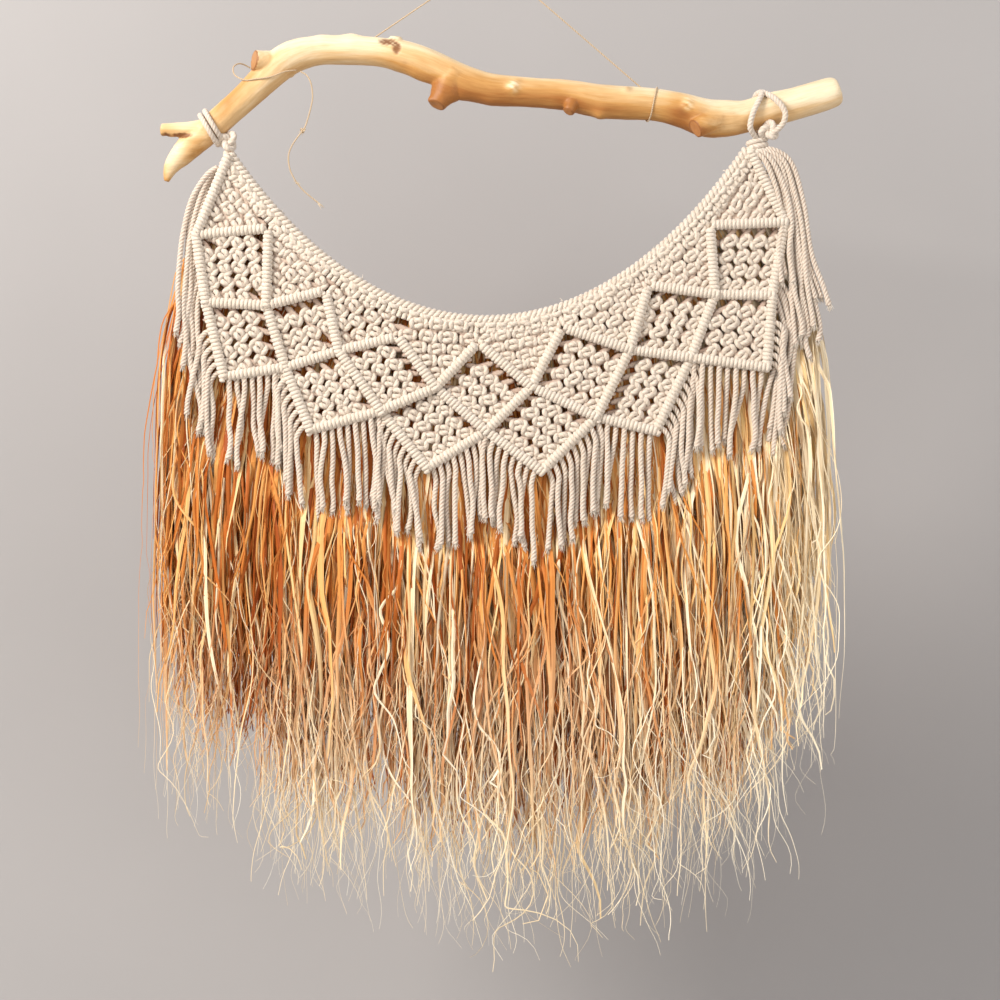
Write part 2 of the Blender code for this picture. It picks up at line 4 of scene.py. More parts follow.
import bpy
import numpy as np
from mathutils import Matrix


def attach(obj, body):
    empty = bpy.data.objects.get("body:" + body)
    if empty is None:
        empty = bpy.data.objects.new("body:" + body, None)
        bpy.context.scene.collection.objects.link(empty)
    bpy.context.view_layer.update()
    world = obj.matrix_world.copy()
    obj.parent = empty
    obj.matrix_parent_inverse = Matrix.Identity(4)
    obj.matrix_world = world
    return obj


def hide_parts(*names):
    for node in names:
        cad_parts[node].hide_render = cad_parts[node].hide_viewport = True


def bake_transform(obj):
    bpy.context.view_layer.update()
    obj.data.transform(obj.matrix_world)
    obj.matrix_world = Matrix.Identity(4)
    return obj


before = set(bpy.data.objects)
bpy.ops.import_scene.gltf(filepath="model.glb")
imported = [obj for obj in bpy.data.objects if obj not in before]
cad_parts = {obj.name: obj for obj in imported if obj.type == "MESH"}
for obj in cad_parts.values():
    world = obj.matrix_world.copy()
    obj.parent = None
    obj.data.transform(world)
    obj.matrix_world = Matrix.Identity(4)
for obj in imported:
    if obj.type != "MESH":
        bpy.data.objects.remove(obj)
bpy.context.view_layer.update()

# Looks of a macrame and raffia wall hanging: spun cord, knots, hitches, fringe,
# raffia strands, a peeled branch and its twine. Lengths are in metres unless a
# name says otherwise, and design points are in millimetres.

MM = 0.001
RNG = np.random.default_rng(41)
ROOT, BIB = "branch_and_twine", "macrame_bib"
FRONT = np.array([0, -1.0, 0])
WHOLE_TURN = 2 * np.pi

# ---------------------------------------------------------------- sizes

CORD_RADIUS = 2.15 * MM          # spun cotton cord, hanging free
KNOT_CORD = 2.05 * MM            # the same cord, pulled tight in a knot
PLY_PITCH = 8.6 * MM             # one whole turn of the three plies
CELL = 11.0 * MM                 # between two square knots along a rib
HITCH_PITCH = 3.0 * MM
HEAD_PITCH = 8.2 * MM            # between two lark's heads on the neckline
RIB_Y = -6.0 * MM
RIM_Y = -3.0 * MM
LEVEL_Y = {"front": -5.8 * MM, "middle": -4.6 * MM, "back": -3.6 * MM}
RIB_LEVEL_Y = {"front": -10.2 * MM, "middle": -9.3 * MM, "back": -8.3 * MM}
TWINE_RADIUS = 0.6 * MM
STEEPEST = 1.1                   # sideways slope of a wandering strand
MOST_DRIFT = 24 * MM
RECESS_SHADE_DEPTH = 3.4 * MM          # from the front of a knot to where its painted shade is full
FIBRE_RADIUS = 0.42 * MM
FIBRE_STATIONS = 5
CLEAR = 0.4

BRANCH_RADIUS = 12.0
# The middle line of the branch: across, up, and its thickness as a share of the radius
BRANCH = [
    (-214, -131, 0.84), (-188, -107.6, 0.85), (-169, -89.6, 0.96), (-153, -76, 1.04),
    (-133, -69.4, 0.92), (-109, -68.3, 0.92), (-83, -70, 0.92), (-64, -74, 1.0),
    (-45, -80.6, 1.0), (-21, -92, 1.04), (0, -98, 1.0), (26, -100, 0.90), (56, -102.4, 0.93),
    (82, -107, 1.04), (110, -108.4, 1.02), (127, -110, 1.0), (146, -114.4, 1.07),
    (162, -119.6, 1.17), (177, -119.6, 1.12), (192, -118, 1.0), (210, -113, 1.02),
    (232, -107.6, 1.0), (256, -100, 0.96), (261.5, -98.2, 0.72),
]
LOOP_STATIONS = (-207.0, 198.3)
KNOT_RADIUS = 5.6

# Corners where the ribs meet, in rows from the neckline down to the fringe: across and up
ROW_J = [(-194.8, -146.5), (-166, -203), (-123.4, -249.4), (-69.4, -284), (-9.4, -288.4),
         (53.6, -277), (118, -245.6), (164, -200.6), (192.6, -141.6)]
ROW_K = [(-220, -208), (-167.6, -260.6), (-113.6, -294.4), (-41, -322), (30.4, -321.4),
         (104, -293.6), (167.6, -252.4), (220, -198.4)]
ROW_M = [(-212.6, -258.4), (-153.4, -307), (-82, -339.4), (-3.4, -354.4), (79, -344),
         (149.6, -299.6), (210.4, -253)]
ROW_N = [(-199, -314), (-134.6, -353.6), (-47.6, -382), (38, -384.4), (123.4, -354.4),
         (206, -307)]
# How far forward each panel of a row lies, from the left
RIM_LEVELS = ["middle", "middle", "back", "front", "middle", "front", "middle", "back"]
UPPER_LEVELS = ["front", "back", "front", "middle", "front", "middle", "back"]
LOWER_LEVELS = ["front", "front", "back", "front", "back", "front"]

RIM_START = np.array([-194.8, -146.5]) * MM
RIM_END = np.array([192.6, -141.6]) * MM
RIM_SAG = 126.0 * MM

# The loose end of the twine, and the place on the branch that it was laid out from
TAIL_ROOT = np.array([-148.2, -8.5, -89.6])
TAIL = [(-145.1, -8.5, -90.6), (-140.5, -9, -93.4), (-137.2, -9.2, -99.5), (-136, -9, -109),
        (-137, -8.6, -116), (-139.4, -8.2, -125), (-142, -8, -132.4), (-146.6, -8, -138.6),
        (-151, -8.2, -145), (-153.8, -8.6, -152), (-153.9, -9, -159), (-152, -9.2, -166.4),
        (-147.6, -9, -174), (-142.4, -8.8, -180), (-137, -8.6, -184.6), (-131, -8.5, -189.4)]


# ---------------------------------------------------------------- geometry helpers

def unit(v):
    """Vectors along the last axis, made one long."""
    return v / np.maximum(np.linalg.norm(v, axis=-1, keepdims=True), 1e-12)


def smooth_path(points, steps):
    """Points of a Catmull-Rom curve through a list of points."""
    p = np.asarray(points, float)
    padded = np.vstack([p[:1], p, p[-1:]])
    t = (np.arange(steps) / steps)[:, None]
    rows = []
    for a, b, c, d in zip(padded, padded[1:], padded[2:], padded[3:]):
        rows.append(0.5 * (2 * b + (c - a) * t + (2 * a - 5 * b + 4 * c - d) * t ** 2
                           + (3 * b - a - 3 * c + d) * t ** 3))
    return np.vstack(rows + [p[-1:]])


def resampled(path, count):
    """A path as count points, evenly spaced along it."""
    s = lengths_along(path[None])[0]
    at = np.linspace(0, s[-1], count)
    return np.stack([np.interp(at, s, path[:, k]) for k in range(path.shape[1])], 1)


def lengths_along(paths):
    """Distance along each path at each of its points."""
    steps = np.linalg.norm(np.diff(paths, axis=1), axis=-1)
    return np.concatenate([np.zeros((len(paths), 1)), np.cumsum(steps, 1)], 1)


def path_length(path):
    """Whole length of one path."""
    return float(np.linalg.norm(np.diff(path, axis=0), axis=1).sum())


def catenary_size(half_span, sag):
    """The size of the hanging curve that sags by sag over its half span."""
    low, high = half_span * 0.2, half_span * 50
    for _ in range(80):
        middle = (low + high) / 2
        if middle * (math.cosh(half_span / middle) - 1) > sag:
            low = middle
        else:
            high = middle
    return low


RIM_HALF = (RIM_END[0] - RIM_START[0]) / 2
RIM_MIDDLE = (RIM_END[0] + RIM_START[0]) / 2
RIM_SIZE = catenary_size(RIM_HALF, RIM_SAG)
RIM_TILT = (RIM_END[1] - RIM_START[1]) / (2 * RIM_HALF)


def rim_height(x):
    """Height of the neckline at a place across."""
    sag = RIM_SIZE * (np.cosh(RIM_HALF / RIM_SIZE) - np.cosh((x - RIM_MIDDLE) / RIM_SIZE))
    return RIM_START[1] + RIM_TILT * (x - RIM_START[0]) - sag


BRANCH_PATH = smooth_path([(x * MM, up * MM, share * BRANCH_RADIUS * MM)
                           for x, up, share in BRANCH], 3)


def branch_at(x):
    """Centre, direction, upward direction and radius of the branch at a place across."""
    k = int(np.clip(np.searchsorted(BRANCH_PATH[:, 0], x) - 1, 0, len(BRANCH_PATH) - 2))
    a, b = BRANCH_PATH[k], BRANCH_PATH[k + 1]
    at = a + (b - a) * (x - a[0]) / (b[0] - a[0])
    along = unit(np.array([b[0] - a[0], 0, b[1] - a[1]]))
    return np.array([x, 0, at[1]]), along, np.array([-along[2], 0, along[0]]), at[2]


def on_branch(x, degrees, away):
    """A point round the branch: 0 degrees is its front and 90 its top."""
    centre, _, upward, radius = branch_at(x * MM)
    angle = math.radians(degrees)
    return centre + (radius + away * MM) * (FRONT * math.cos(angle) + upward * math.sin(angle))


def placed(name, data):
    """A new object in the scene."""
    thing = bpy.data.objects.new(name, data)
    bpy.context.scene.collection.objects.link(thing)
    return thing


def add_mark(mesh, name, values):
    """A number, or a vector, for every point of a mesh."""
    kind, field = ("FLOAT", "value") if values.ndim == 1 else ("FLOAT_VECTOR", "vector")
    layer = mesh.attributes.new(name, kind, "POINT")
    layer.data.foreach_set(field, values.astype(np.float32).ravel())


class Piece:
    """Collects tubes and strips, then makes them one mesh object."""

    def __init__(self, name, rounded=True):
        self.name = name
        self.rounded = rounded
        self.places, self.quads, self.ends = [], [], []
        self.lay, self.own, self.marks = [], [], []
        self.count = 0

    def strips(self, rings, lengths, marks):
        """Adds a batch of closed tubes: rings is tubes x stations x sides x 3.

        lengths is the distance along each tube at each station, and marks is
        tubes x stations x sides x 3: groove (painted shade in grooves and recesses), tone and place from
        root to tip.
        """
        m, n, k, _ = rings.shape
        index = np.arange(m * n * k).reshape(m, n, k) + self.count
        a = index[:, :-1, :]
        b = index[:, 1:, :]
        quads = np.stack([a, np.roll(a, -1, 2), np.roll(b, -1, 2), b], -1)
        self.places.append(rings.reshape(-1, 3))
        self.quads.append(quads.reshape(-1, 4))
        self.ends.append((index[:, 0, ::-1].reshape(m, k), index[:, -1, :].reshape(m, k)))
        self.marks.append(marks.reshape(-1, 3))
        s = lengths[:, :, None]
        turn = np.arange(k + 1) / k
        low_s = np.broadcast_to(s[:, :-1], (m, n - 1, k))
        high_s = np.broadcast_to(s[:, 1:], (m, n - 1, k))
        left = np.broadcast_to(turn[:-1], (m, n - 1, k))
        right = np.broadcast_to(turn[1:], (m, n - 1, k))
        lay = np.stack([np.stack([low_s, left], -1), np.stack([low_s, right], -1),
                        np.stack([high_s, right], -1), np.stack([high_s, left], -1)], 3)
        self.lay.append(lay.reshape(-1, 2))
        whole = np.maximum(lengths[:, -1:, None], 1e-9)
        self.own.append((np.stack([lay[..., 1], lay[..., 0] / whole[..., None]], -1), m,
                         float(lengths[:, -1].mean())))
        self.count += m * n * k

    def own_map(self):
        """A map with a place of its own for every tube."""
        total = sum(m * length for _, m, length in self.own)
        top, result = 0.0, []
        for local, m, length in self.own:
            band = m * length / total
            columns = max(1, math.ceil(math.sqrt(m * max(length, 0.004) / 0.013 / band)))
            rows = math.ceil(m / columns)
            i = np.arange(m)
            u = (i % columns)[:, None, None, None, None]
            v = (i // columns)[:, None, None, None, None]
            x = (u + 0.04 + 0.92 * local[..., 0:1]) / columns
            y = top + band * (v + 0.03 + 0.94 * local[..., 1:2]) / rows
            result.append(np.concatenate([x, y], -1).reshape(-1, 2))
            top += band
        return np.vstack(result)

    def build(self, material, slot, body, *nodes):
        """The finished object, riding on a body and standing for CAD nodes."""
        places = np.vstack(self.places)
        quads = np.vstack(self.quads)
        caps = [row for first, last in self.ends for group in (first, last) for row in group]
        sizes = np.concatenate([np.full(len(quads), 4), [len(row) for row in caps]]).astype(np.int32)
        loops = np.concatenate([quads.ravel()] + caps).astype(np.int32)
        mesh = bpy.data.meshes.new(self.name)
        mesh.vertices.add(len(places))
        mesh.vertices.foreach_set("co", places.astype(np.float32).ravel())
        mesh.loops.add(len(loops))
        mesh.loops.foreach_set("vertex_index", loops)
        mesh.polygons.add(len(sizes))
        starts = np.concatenate([[0], np.cumsum(sizes)[:-1]]).astype(np.int32)
        mesh.polygons.foreach_set("loop_start", starts)
        mesh.polygons.foreach_set("use_smooth", np.full(len(sizes), self.rounded))
        mesh.update(calc_edges=True)
        spare = len(loops) - 4 * len(quads)
        for name, values in (("OFBake", self.own_map()), ("lay", np.vstack(self.lay))):
            layer = mesh.uv_layers.new(name=name)
            values = np.vstack([values, np.zeros((spare, 2))])
            layer.data.foreach_set("uv", values.astype(np.float32).ravel())
        # groove carries painted shade: cord in ply grooves and recesses is coloured darker
        for name, values in zip(("groove", "tone", "reach"), np.vstack(self.marks).T):
            add_mark(mesh, name, values)
        mesh.materials.append(material)
        piece = placed(self.name, mesh)
        if body:
            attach(piece, body)
        if nodes:
            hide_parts(*nodes)
        return piece


def frames_along(paths):
    """Tangent, normal and binormal at each station of each path."""
    tangent = unit(np.gradient(paths, axis=1))
    guess = np.zeros_like(tangent[:, 0])
    guess[:, 1] = 1
    steep = np.abs(tangent[:, 0, 1]) > 0.8
    guess[steep] = (0, 0, 1)
    normal = np.zeros_like(paths)
    n = unit(guess - (guess * tangent[:, 0]).sum(-1, keepdims=True) * tangent[:, 0])
    for i in range(paths.shape[1]):
        t = tangent[:, i]
        n = unit(n - (n * t).sum(-1, keepdims=True) * t)
        normal[:, i] = n
    return tangent, normal, np.cross(tangent, normal)


def rings_round(paths, sizes, angles):
    """Points round every station of every path, at angles that may turn along it."""
    _, normal, side = frames_along(paths)
    return paths[:, :, None] + sizes * (np.cos(angles)[..., None] * normal[:, :, None]
                                        + np.sin(angles)[..., None] * side[:, :, None])


def add_cords(piece, paths, radius, sides=12, plies=3, pitch=PLY_PITCH, depth=0.24,
              tones=None, swell=None, mark=1.0, front=None):
    """Twisted cords along a batch of paths with the same number of points.

    Each section turns with the twist, so every ply keeps its own row of points.
    Cord that lies behind the front depth gets painted shade, for the shade between the other cords.
    """
    paths = np.asarray(paths, float)
    s = lengths_along(paths)
    angle = WHOLE_TURN * np.arange(sides) / sides
    groove = 1 - np.abs(np.sin(plies / 2 * angle)) ** 0.8
    start = RNG.uniform(0, WHOLE_TURN, (len(paths), 1))
    turned = angle + (WHOLE_TURN * s / pitch + start)[..., None]
    size = radius * (1 - depth * groove)
    if swell is not None:
        size = size * swell[None, :, None]
    shape = turned.shape
    rings = rings_round(paths, np.broadcast_to(size, shape)[..., None], turned)
    tone = RNG.uniform(0, 1, len(paths)) if tones is None else np.asarray(tones, float)
    # painted shade in the ply grooves, scaled by mark
    shade = groove * mark + np.zeros(shape)
    if front is not None:
        # painted shade for cord that lies behind the front of a knot
        recess_shade = np.clip((rings[..., 1] - front) / RECESS_SHADE_DEPTH, 0, 1)
        shade = np.maximum(shade, 1.25 * recess_shade)
    marks = np.stack([shade,
                      np.broadcast_to(tone[:, None, None], shape),
                      np.broadcast_to((s / s[:, -1:])[..., None], shape)], -1)
    piece.strips(rings, s, marks)


def add_pulled(piece, paths, radius, depth, mark, **more):
    """Cords pulled tight in a knot, where the twist shows less."""
    add_cords(piece, paths, radius, sides=9, depth=depth, mark=mark, **more)


def add_fray(piece, tips, directions, count=20, length=3.8 * MM, spread=0.34):
    """Loose fibres that fan out of cut cord ends."""
    tips, directions = np.asarray(tips), unit(np.asarray(directions))
    m = len(tips) * count
    start = np.repeat(tips, count, 0)
    way = np.repeat(directions, count, 0)
    off = RNG.normal(0, 1, (m, 3))
    start = start + unit(off) * RNG.uniform(0, 1.7 * MM, (m, 1)) - way * 1.2 * MM
    lean = way + off * spread * RNG.uniform(0.2, 1, (m, 1))
    reach = length * RNG.uniform(0.45, 1.15, (m, 1))
    t = np.linspace(0, 1, FIBRE_STATIONS)
    bend = RNG.normal(0, 0.8 * MM, (m, 3)) + np.array([0, 0, -1.2 * MM])
    paths = start[:, None] + unit(lean)[:, None] * (reach * t)[..., None] + bend[:, None] * (t ** 2)[:, None]
    size = FIBRE_RADIUS * (1 - 0.7 * t)[None, :, None, None]
    rings = rings_round(paths, size, WHOLE_TURN * np.arange(3) / 3)
    shape = (m, FIBRE_STATIONS, 3)
    marks = np.stack([np.full(shape, -0.25), np.zeros(shape), np.broadcast_to(t[:, None], shape)], -1)
    piece.strips(rings, reach * t, marks)


# ---------------------------------------------------------------- materials

def colour(red, green, blue):
    """A colour given in 0 to 255, as light."""
    c = np.array([red, green, blue]) / 255
    c = np.where(c <= 0.04045, c / 12.92, ((c + 0.055) / 1.055) ** 2.4)
    return (float(c[0]), float(c[1]), float(c[2]), 1.0)


class Shader:
    """Short calls for adding and joining nodes in one tree."""

    def __init__(self, tree):
        self.tree = tree

    def node(self, kind, settings=(), **inputs):
        made = self.tree.nodes.new(kind)
        for name, value in dict(settings).items():
            setattr(made, name, value)
        for name, value in inputs.items():
            self.put(made, name.replace("_", " "), value)
        return made

    def put(self, made, name, value):
        socket = made.inputs[int(name)] if name.strip().isdigit() else made.inputs[name]
        if isinstance(value, bpy.types.NodeSocket):
            self.tree.links.new(value, socket)
        else:
            socket.default_value = value

    def maths(self, operation, first, second=0.0):
        made = self.node("ShaderNodeMath", {"operation": operation})
        self.put(made, "0", first)
        self.put(made, "1", second)
        return made.outputs[0]

    def noise(self, vector, scale, detail=3.0, roughness=0.55):
        made = self.node("ShaderNodeTexNoise", Scale=scale, Detail=detail, Roughness=roughness)
        self.put(made, "Vector", vector)
        return made.outputs["Fac"]

    def stretched(self, vector, scale):
        made = self.node("ShaderNodeMapping")
        self.put(made, "Vector", vector)
        self.put(made, "Scale", scale)
        return made.outputs[0]

    def ramp(self, factor, stops):
        made = self.node("ShaderNodeValToRGB")
        self.put(made, "Fac", factor)
        elements = made.color_ramp.elements
        while len(elements) < len(stops):
            elements.new(0.5)
        for element, (place, value) in zip(elements, stops):
            element.position = place
            element.color = value if len(value) == 4 else (*value, 1)
        return made.outputs["Color"]

    def mix(self, factor, first, second, blend="MIX"):
        made = self.node("ShaderNodeMix", {"data_type": "RGBA", "blend_type": blend})
        self.put(made, "0", factor)
        self.put(made, "6", first)
        self.put(made, "7", second)
        return made.outputs[2]

    def tinted(self, amount, base, factor, stops):
        """base, multiplied by a ramp of tints."""
        return self.mix(amount, base, self.ramp(factor, stops), "MULTIPLY")

    def mark(self, name, output="Fac"):
        return self.node("ShaderNodeAttribute", {"attribute_name": name}).outputs[output]


def group(name, inputs, outputs):
    """A new shader node group with named sockets, and its in and out nodes."""
    tree = bpy.data.node_groups.new(name, "ShaderNodeTree")
    for label, kind, value in inputs:
        socket = tree.interface.new_socket(name=label, in_out="INPUT", socket_type=kind)
        if value is not None:
            socket.default_value = value
    for label, kind in outputs:
        tree.interface.new_socket(name=label, in_out="OUTPUT", socket_type=kind)
    s = Shader(tree)
    return s, s.node("NodeGroupInput").outputs, s.node("NodeGroupOutput")


def make_fibre_group():
    """Fine streaks that run along a cord, strand or ribbon."""
    s, given, out = group(
        "fibre_streaks",
        [("Around", "NodeSocketFloat", 26.0), ("Along", "NodeSocketFloat", 260.0),
         ("Slant", "NodeSocketFloat", 0.0)],
        [("Streaks", "NodeSocketFloat"), ("Blotches", "NodeSocketFloat")])
    lay = s.node("ShaderNodeUVMap", {"uv_map": "lay"}).outputs[0]
    parts = s.node("ShaderNodeSeparateXYZ", Vector=lay).outputs
    turn = s.maths("ADD", parts["Y"], s.maths("MULTIPLY", parts["X"], given["Slant"]))
    circle = s.maths("MULTIPLY", turn, 2 * math.pi)
    x = s.maths("MULTIPLY", s.maths("COSINE", circle), given["Around"])
    y = s.maths("MULTIPLY", s.maths("SINE", circle), given["Around"])
    z = s.maths("MULTIPLY", parts["X"], given["Along"])
    apart = s.maths("MULTIPLY", s.mark("tone"), 91.7)
    place = s.node("ShaderNodeCombineXYZ", X=x, Y=y, Z=s.maths("ADD", z, apart)).outputs[0]
    s.put(out, "Streaks", s.noise(place, 0.30, 4.0, 0.7))
    s.put(out, "Blotches", s.noise(place, 0.05, 2.0))
    return s.tree


def placed_group(s, tree, **values):
    """Outputs of a node group, placed in a material."""
    return s.node("ShaderNodeGroup", {"node_tree": tree}, **values).outputs


def new_material(name, roughness, **fixed):
    """A material with its node tree and its surface shader."""
    material = bpy.data.materials.new(name)
    material.use_nodes = True
    s = Shader(material.node_tree)
    shader = material.node_tree.nodes["Principled BSDF"]
    for label, value in {"Roughness": roughness, **fixed}.items():
        shader.inputs[label.replace("_", " ")].default_value = value
    return material, s, shader


def finish_surface(s, shader, base, height, distance, strength):
    """Joins the colour and the relief to the surface."""
    bump = s.node("ShaderNodeBump", Strength=strength, Distance=distance, Height=height)
    s.put(shader, "Base Color", base)
    s.put(shader, "Normal", bump.outputs[0])


def spun_cotton(fibres):
    """Soft three-ply cotton: cream on the plies, with painted shade, darker and warmer, in the grooves and
    on cord buried behind a knot's front.
    """
    material, s, shader = new_material("spun_cotton", 0.92, Sheen_Weight=0.35, Sheen_Roughness=0.6,
                                       Specular_IOR_Level=0.18)
    streak = placed_group(s, fibres, Around=9.0, Along=420.0, Slant=-40.0)
    # painted shade: cord in ply grooves and behind the front of a knot is darkened towards warm brown
    groove_shade = s.maths("MULTIPLY", s.mark("groove"), 0.78)
    base = s.mix(groove_shade, colour(236, 224, 209), colour(146, 88, 56))
    base = s.mix(s.maths("MULTIPLY", s.mark("tone"), 0.18), base, colour(228, 212, 190))
    base = s.tinted(0.8, base, streak["Streaks"], [(0.36, (0.78, 0.76, 0.72)), (0.62, (1.04, 1.03, 1.02))])
    base = s.tinted(0.6, base, streak["Blotches"], [(0.35, (0.90, 0.86, 0.80)), (0.6, (1, 1, 1))])
    finish_surface(s, shader, base, streak["Streaks"], 0.00035, 0.7)
    return material


def raffia_leaf(fibres):
    """Dry leaf strips: orange brown at the root, straw at the tip."""
    material, s, shader = new_material("raffia_leaf", 0.52, Specular_IOR_Level=0.25)
    streak = placed_group(s, fibres, Around=7.0, Along=55.0, Slant=0.0)
    tone = s.mark("tone")
    strand = s.ramp(tone, [(0.0, colour(166, 82, 24)), (0.30, colour(202, 116, 44)),
                           (0.55, colour(228, 160, 84)), (0.76, colour(246, 212, 152)),
                           (1.0, colour(255, 243, 216))])
    straw = s.mix(tone, colour(240, 212, 160), colour(255, 248, 230))
    to_straw = s.ramp(s.mark("reach"), [(0.48, (0, 0, 0)), (0.70, (0.5, 0.5, 0.5)), (0.88, (1, 1, 1))])
    base = s.mix(to_straw, strand, straw)
    base = s.tinted(0.75, base, streak["Streaks"], [(0.32, (0.72, 0.62, 0.48)), (0.60, (1.06, 1.04, 1.0))])
    base = s.tinted(0.6, base, streak["Blotches"], [(0.34, (0.80, 0.70, 0.58)), (0.58, (1, 1, 1))])
    s.put(shader, "Roughness", s.maths("ADD", 0.42, s.maths("MULTIPLY", streak["Blotches"], 0.28)))
    finish_surface(s, shader, base, streak["Streaks"], 0.0003, 0.8)
    return material


def jute(fibres):
    """Thin dry twine of plant fibre."""
    material, s, shader = new_material("jute_fibre", 0.88, Sheen_Weight=0.2,
                                       Specular_IOR_Level=0.2)
    streak = placed_group(s, fibres, Around=5.0, Along=900.0, Slant=-200.0)
    # painted shade: the twine darkens to brown in its ply grooves
    base = s.mix(s.mark("groove"), colour(226, 206, 176), colour(150, 112, 74))
    base = s.tinted(0.8, base, streak["Streaks"], [(0.36, (0.66, 0.6, 0.52)), (0.62, (1.08, 1.05, 1.0))])
    finish_surface(s, shader, base, streak["Streaks"], 0.0002, 0.7)
    return material


def peeled_wood():
    """Bare branch wood: cream, with orange under and beside its growths."""
    material, s, shader = new_material("peeled_wood", 0.5, Specular_IOR_Level=0.35,
                                       Coat_Weight=0.06, Coat_Roughness=0.4)
    grain_at = s.mark("grain_at", "Vector")

    def grain(scale, *character):
        return s.noise(s.stretched(grain_at, scale), 1.0, *character)

    long_grain = grain((45, 900, 900), 5.0, 0.62)
    broad = grain((14, 120, 120), 3.0)
    clouds = grain((22, 60, 60), 2.0)
    crack = s.ramp(grain((30, 420, 420), 6.0, 0.7), [(0.285, (1, 1, 1)), (0.31, (0, 0, 0))])
    heat = s.maths("ADD", s.mark("warmth"), s.maths("MULTIPLY", s.maths("SUBTRACT", broad, 0.5), 0.9))
    base = s.ramp(heat, [(0.05, colour(240, 219, 184)), (0.34, colour(224, 186, 134)),
                         (0.62, colour(196, 144, 80)), (0.95, colour(164, 104, 46))])
    base = s.tinted(0.55, base, long_grain, [(0.34, (0.80, 0.74, 0.64)), (0.56, (1, 1, 1))])
    base = s.tinted(0.55, base, clouds, [(0.30, (0.86, 0.80, 0.70)), (0.52, (1, 1, 1))])
    for where, amount, stain in ((crack, 0.55, colour(126, 78, 36)),
                                 (s.mark("cut_end"), 0.85, colour(172, 114, 62)),
                                 (s.mark("bark"), 0.9, colour(118, 66, 26))):
        base = s.mix(s.maths("MULTIPLY", where, amount), base, stain)
    s.put(shader, "Roughness", s.maths("ADD", 0.40, s.maths("MULTIPLY", long_grain, 0.26)))
    height = s.maths("ADD", s.maths("MULTIPLY", long_grain, 0.6), s.maths("MULTIPLY", broad, 0.6))
    height = s.maths("SUBTRACT", height, s.maths("MULTIPLY", crack, 0.6))
    finish_surface(s, shader, base, height, 0.0005, 0.55)
    return material


def plain_backdrop(name, shade, one_sided):
    """Painted wall or floor. A one sided wall isn't seen from behind."""
    material, s, shader = new_material(name, 0.9, Specular_IOR_Level=0.2)
    where = s.node("ShaderNodeTexCoord").outputs["Object"]
    darker = tuple(0.94 * c for c in shade[:3])
    s.put(shader, "Base Color", s.ramp(s.noise(where, 2.2, 3.0), [(0.3, darker), (0.7, shade)]))
    if one_sided:
        mixed = s.node("ShaderNodeMixShader")
        s.put(mixed, "0", s.node("ShaderNodeNewGeometry").outputs["Backfacing"])
        s.put(mixed, "1", shader.outputs[0])
        s.put(mixed, "2", s.node("ShaderNodeBsdfTransparent").outputs[0])
        s.put(material.node_tree.nodes["Material Output"], "Surface", mixed.outputs[0])
    return material


# ---------------------------------------------------------------- twine

# Where the twine swings clear of the branch's sawn stub: across, depth and up
SIDE_LOOP = [(-172, 13, -86), (-181.5, 11.5, -80), (-188.5, 7, -77.5), (-193, 1, -81),
             (-191.5, -4.5, -88)]


# Places across and degrees round the branch that the twine touches
LEFT_TIE_UPPER = [(-100, 165), (-128, 180), (-160, 180)]
LEFT_TIE_LOWER = [(-178, 42), (-174, 14), (-167, -18), (-158, -38), (-150, -58)]
RIGHT_TIE = [(112, 108), (113.5, 140), (115, 180), (117, 225), (119, 270), (120.5, 315), (121.5, 0),
             (122.3, 45), (123, 90), (124, 135), (125, 180), (126, 215)]
TOUCH = 0.6 + CLEAR


def twine_route():
    """The taut twine: left tie, over the nail, right tie."""
    nail = np.array([(2.5 * MM * math.cos(a), 0, 2.5 * MM * (math.sin(a) - 1))
                     for a in [math.radians(30 + 20 * k) for k in range(7)]])
    left = [on_branch(*row, TOUCH) for row in LEFT_TIE_UPPER]
    left += [np.array(point) * MM for point in SIDE_LOOP]
    left += [on_branch(*row, TOUCH) for row in LEFT_TIE_LOWER]
    right = [on_branch(*row, TOUCH) for row in RIGHT_TIE]
    down_left = [nail[-1] + (left[0] - nail[-1]) * t for t in (0.3, 0.6, 0.85)]
    down_right = [nail[0] + (right[0] - nail[0]) * t for t in (0.85, 0.6, 0.3)]
    ties = smooth_path(right[::-1], 3)
    return np.vstack([ties, down_right, nail, down_left, smooth_path(left, 3)])


def add_twine(piece, path, radius=TWINE_RADIUS, sides=9):
    """Two-ply twine along one path."""
    add_cords(piece, path[None], radius, sides=sides, plies=2, pitch=3.2 * MM, depth=0.3)


def make_twine(material):
    route = twine_route()
    length = path_length(route)
    piece = Piece("hanging_twine_spun")
    add_twine(piece, resampled(route, int(length / (0.55 * MM))))
    twine = piece.build(material, "jute_twine", ROOT, "hanging_twine")

    start = on_branch(*LEFT_TIE_LOWER[-1], TOUCH)
    route = smooth_path((np.array(TAIL) - TAIL_ROOT) * MM + start, 3)
    length = path_length(route)
    fine = resampled(route, int(length / (0.5 * MM)))
    piece = Piece("twine_tail_spun")
    add_twine(piece, fine)
    tail = piece.build(material, "jute_twine", ROOT, "twine_tail")
    piece = Piece("twine_tail_knot")
    knot_at = fine[int(0.42 * len(fine))]
    t = np.linspace(0, WHOLE_TURN, 40)
    knot = 0.62 * MM * np.stack([np.sin(t) + 2 * np.sin(2 * t), -np.sin(3 * t),
                                 np.cos(t) - 2 * np.cos(2 * t)], 1) + knot_at
    add_twine(piece, knot, 0.5 * MM, 8)
    add_fray(piece, [fine[-1], knot_at, fine[int(0.8 * len(fine))]],
             [(0.9, 0, -0.5), (-0.6, 0, -0.6), (0.8, -0.2, 0.3)], count=5, length=4 * MM)
    knot = piece.build(material, "jute_twine", ROOT)


# ---------------------------------------------------------------- branch

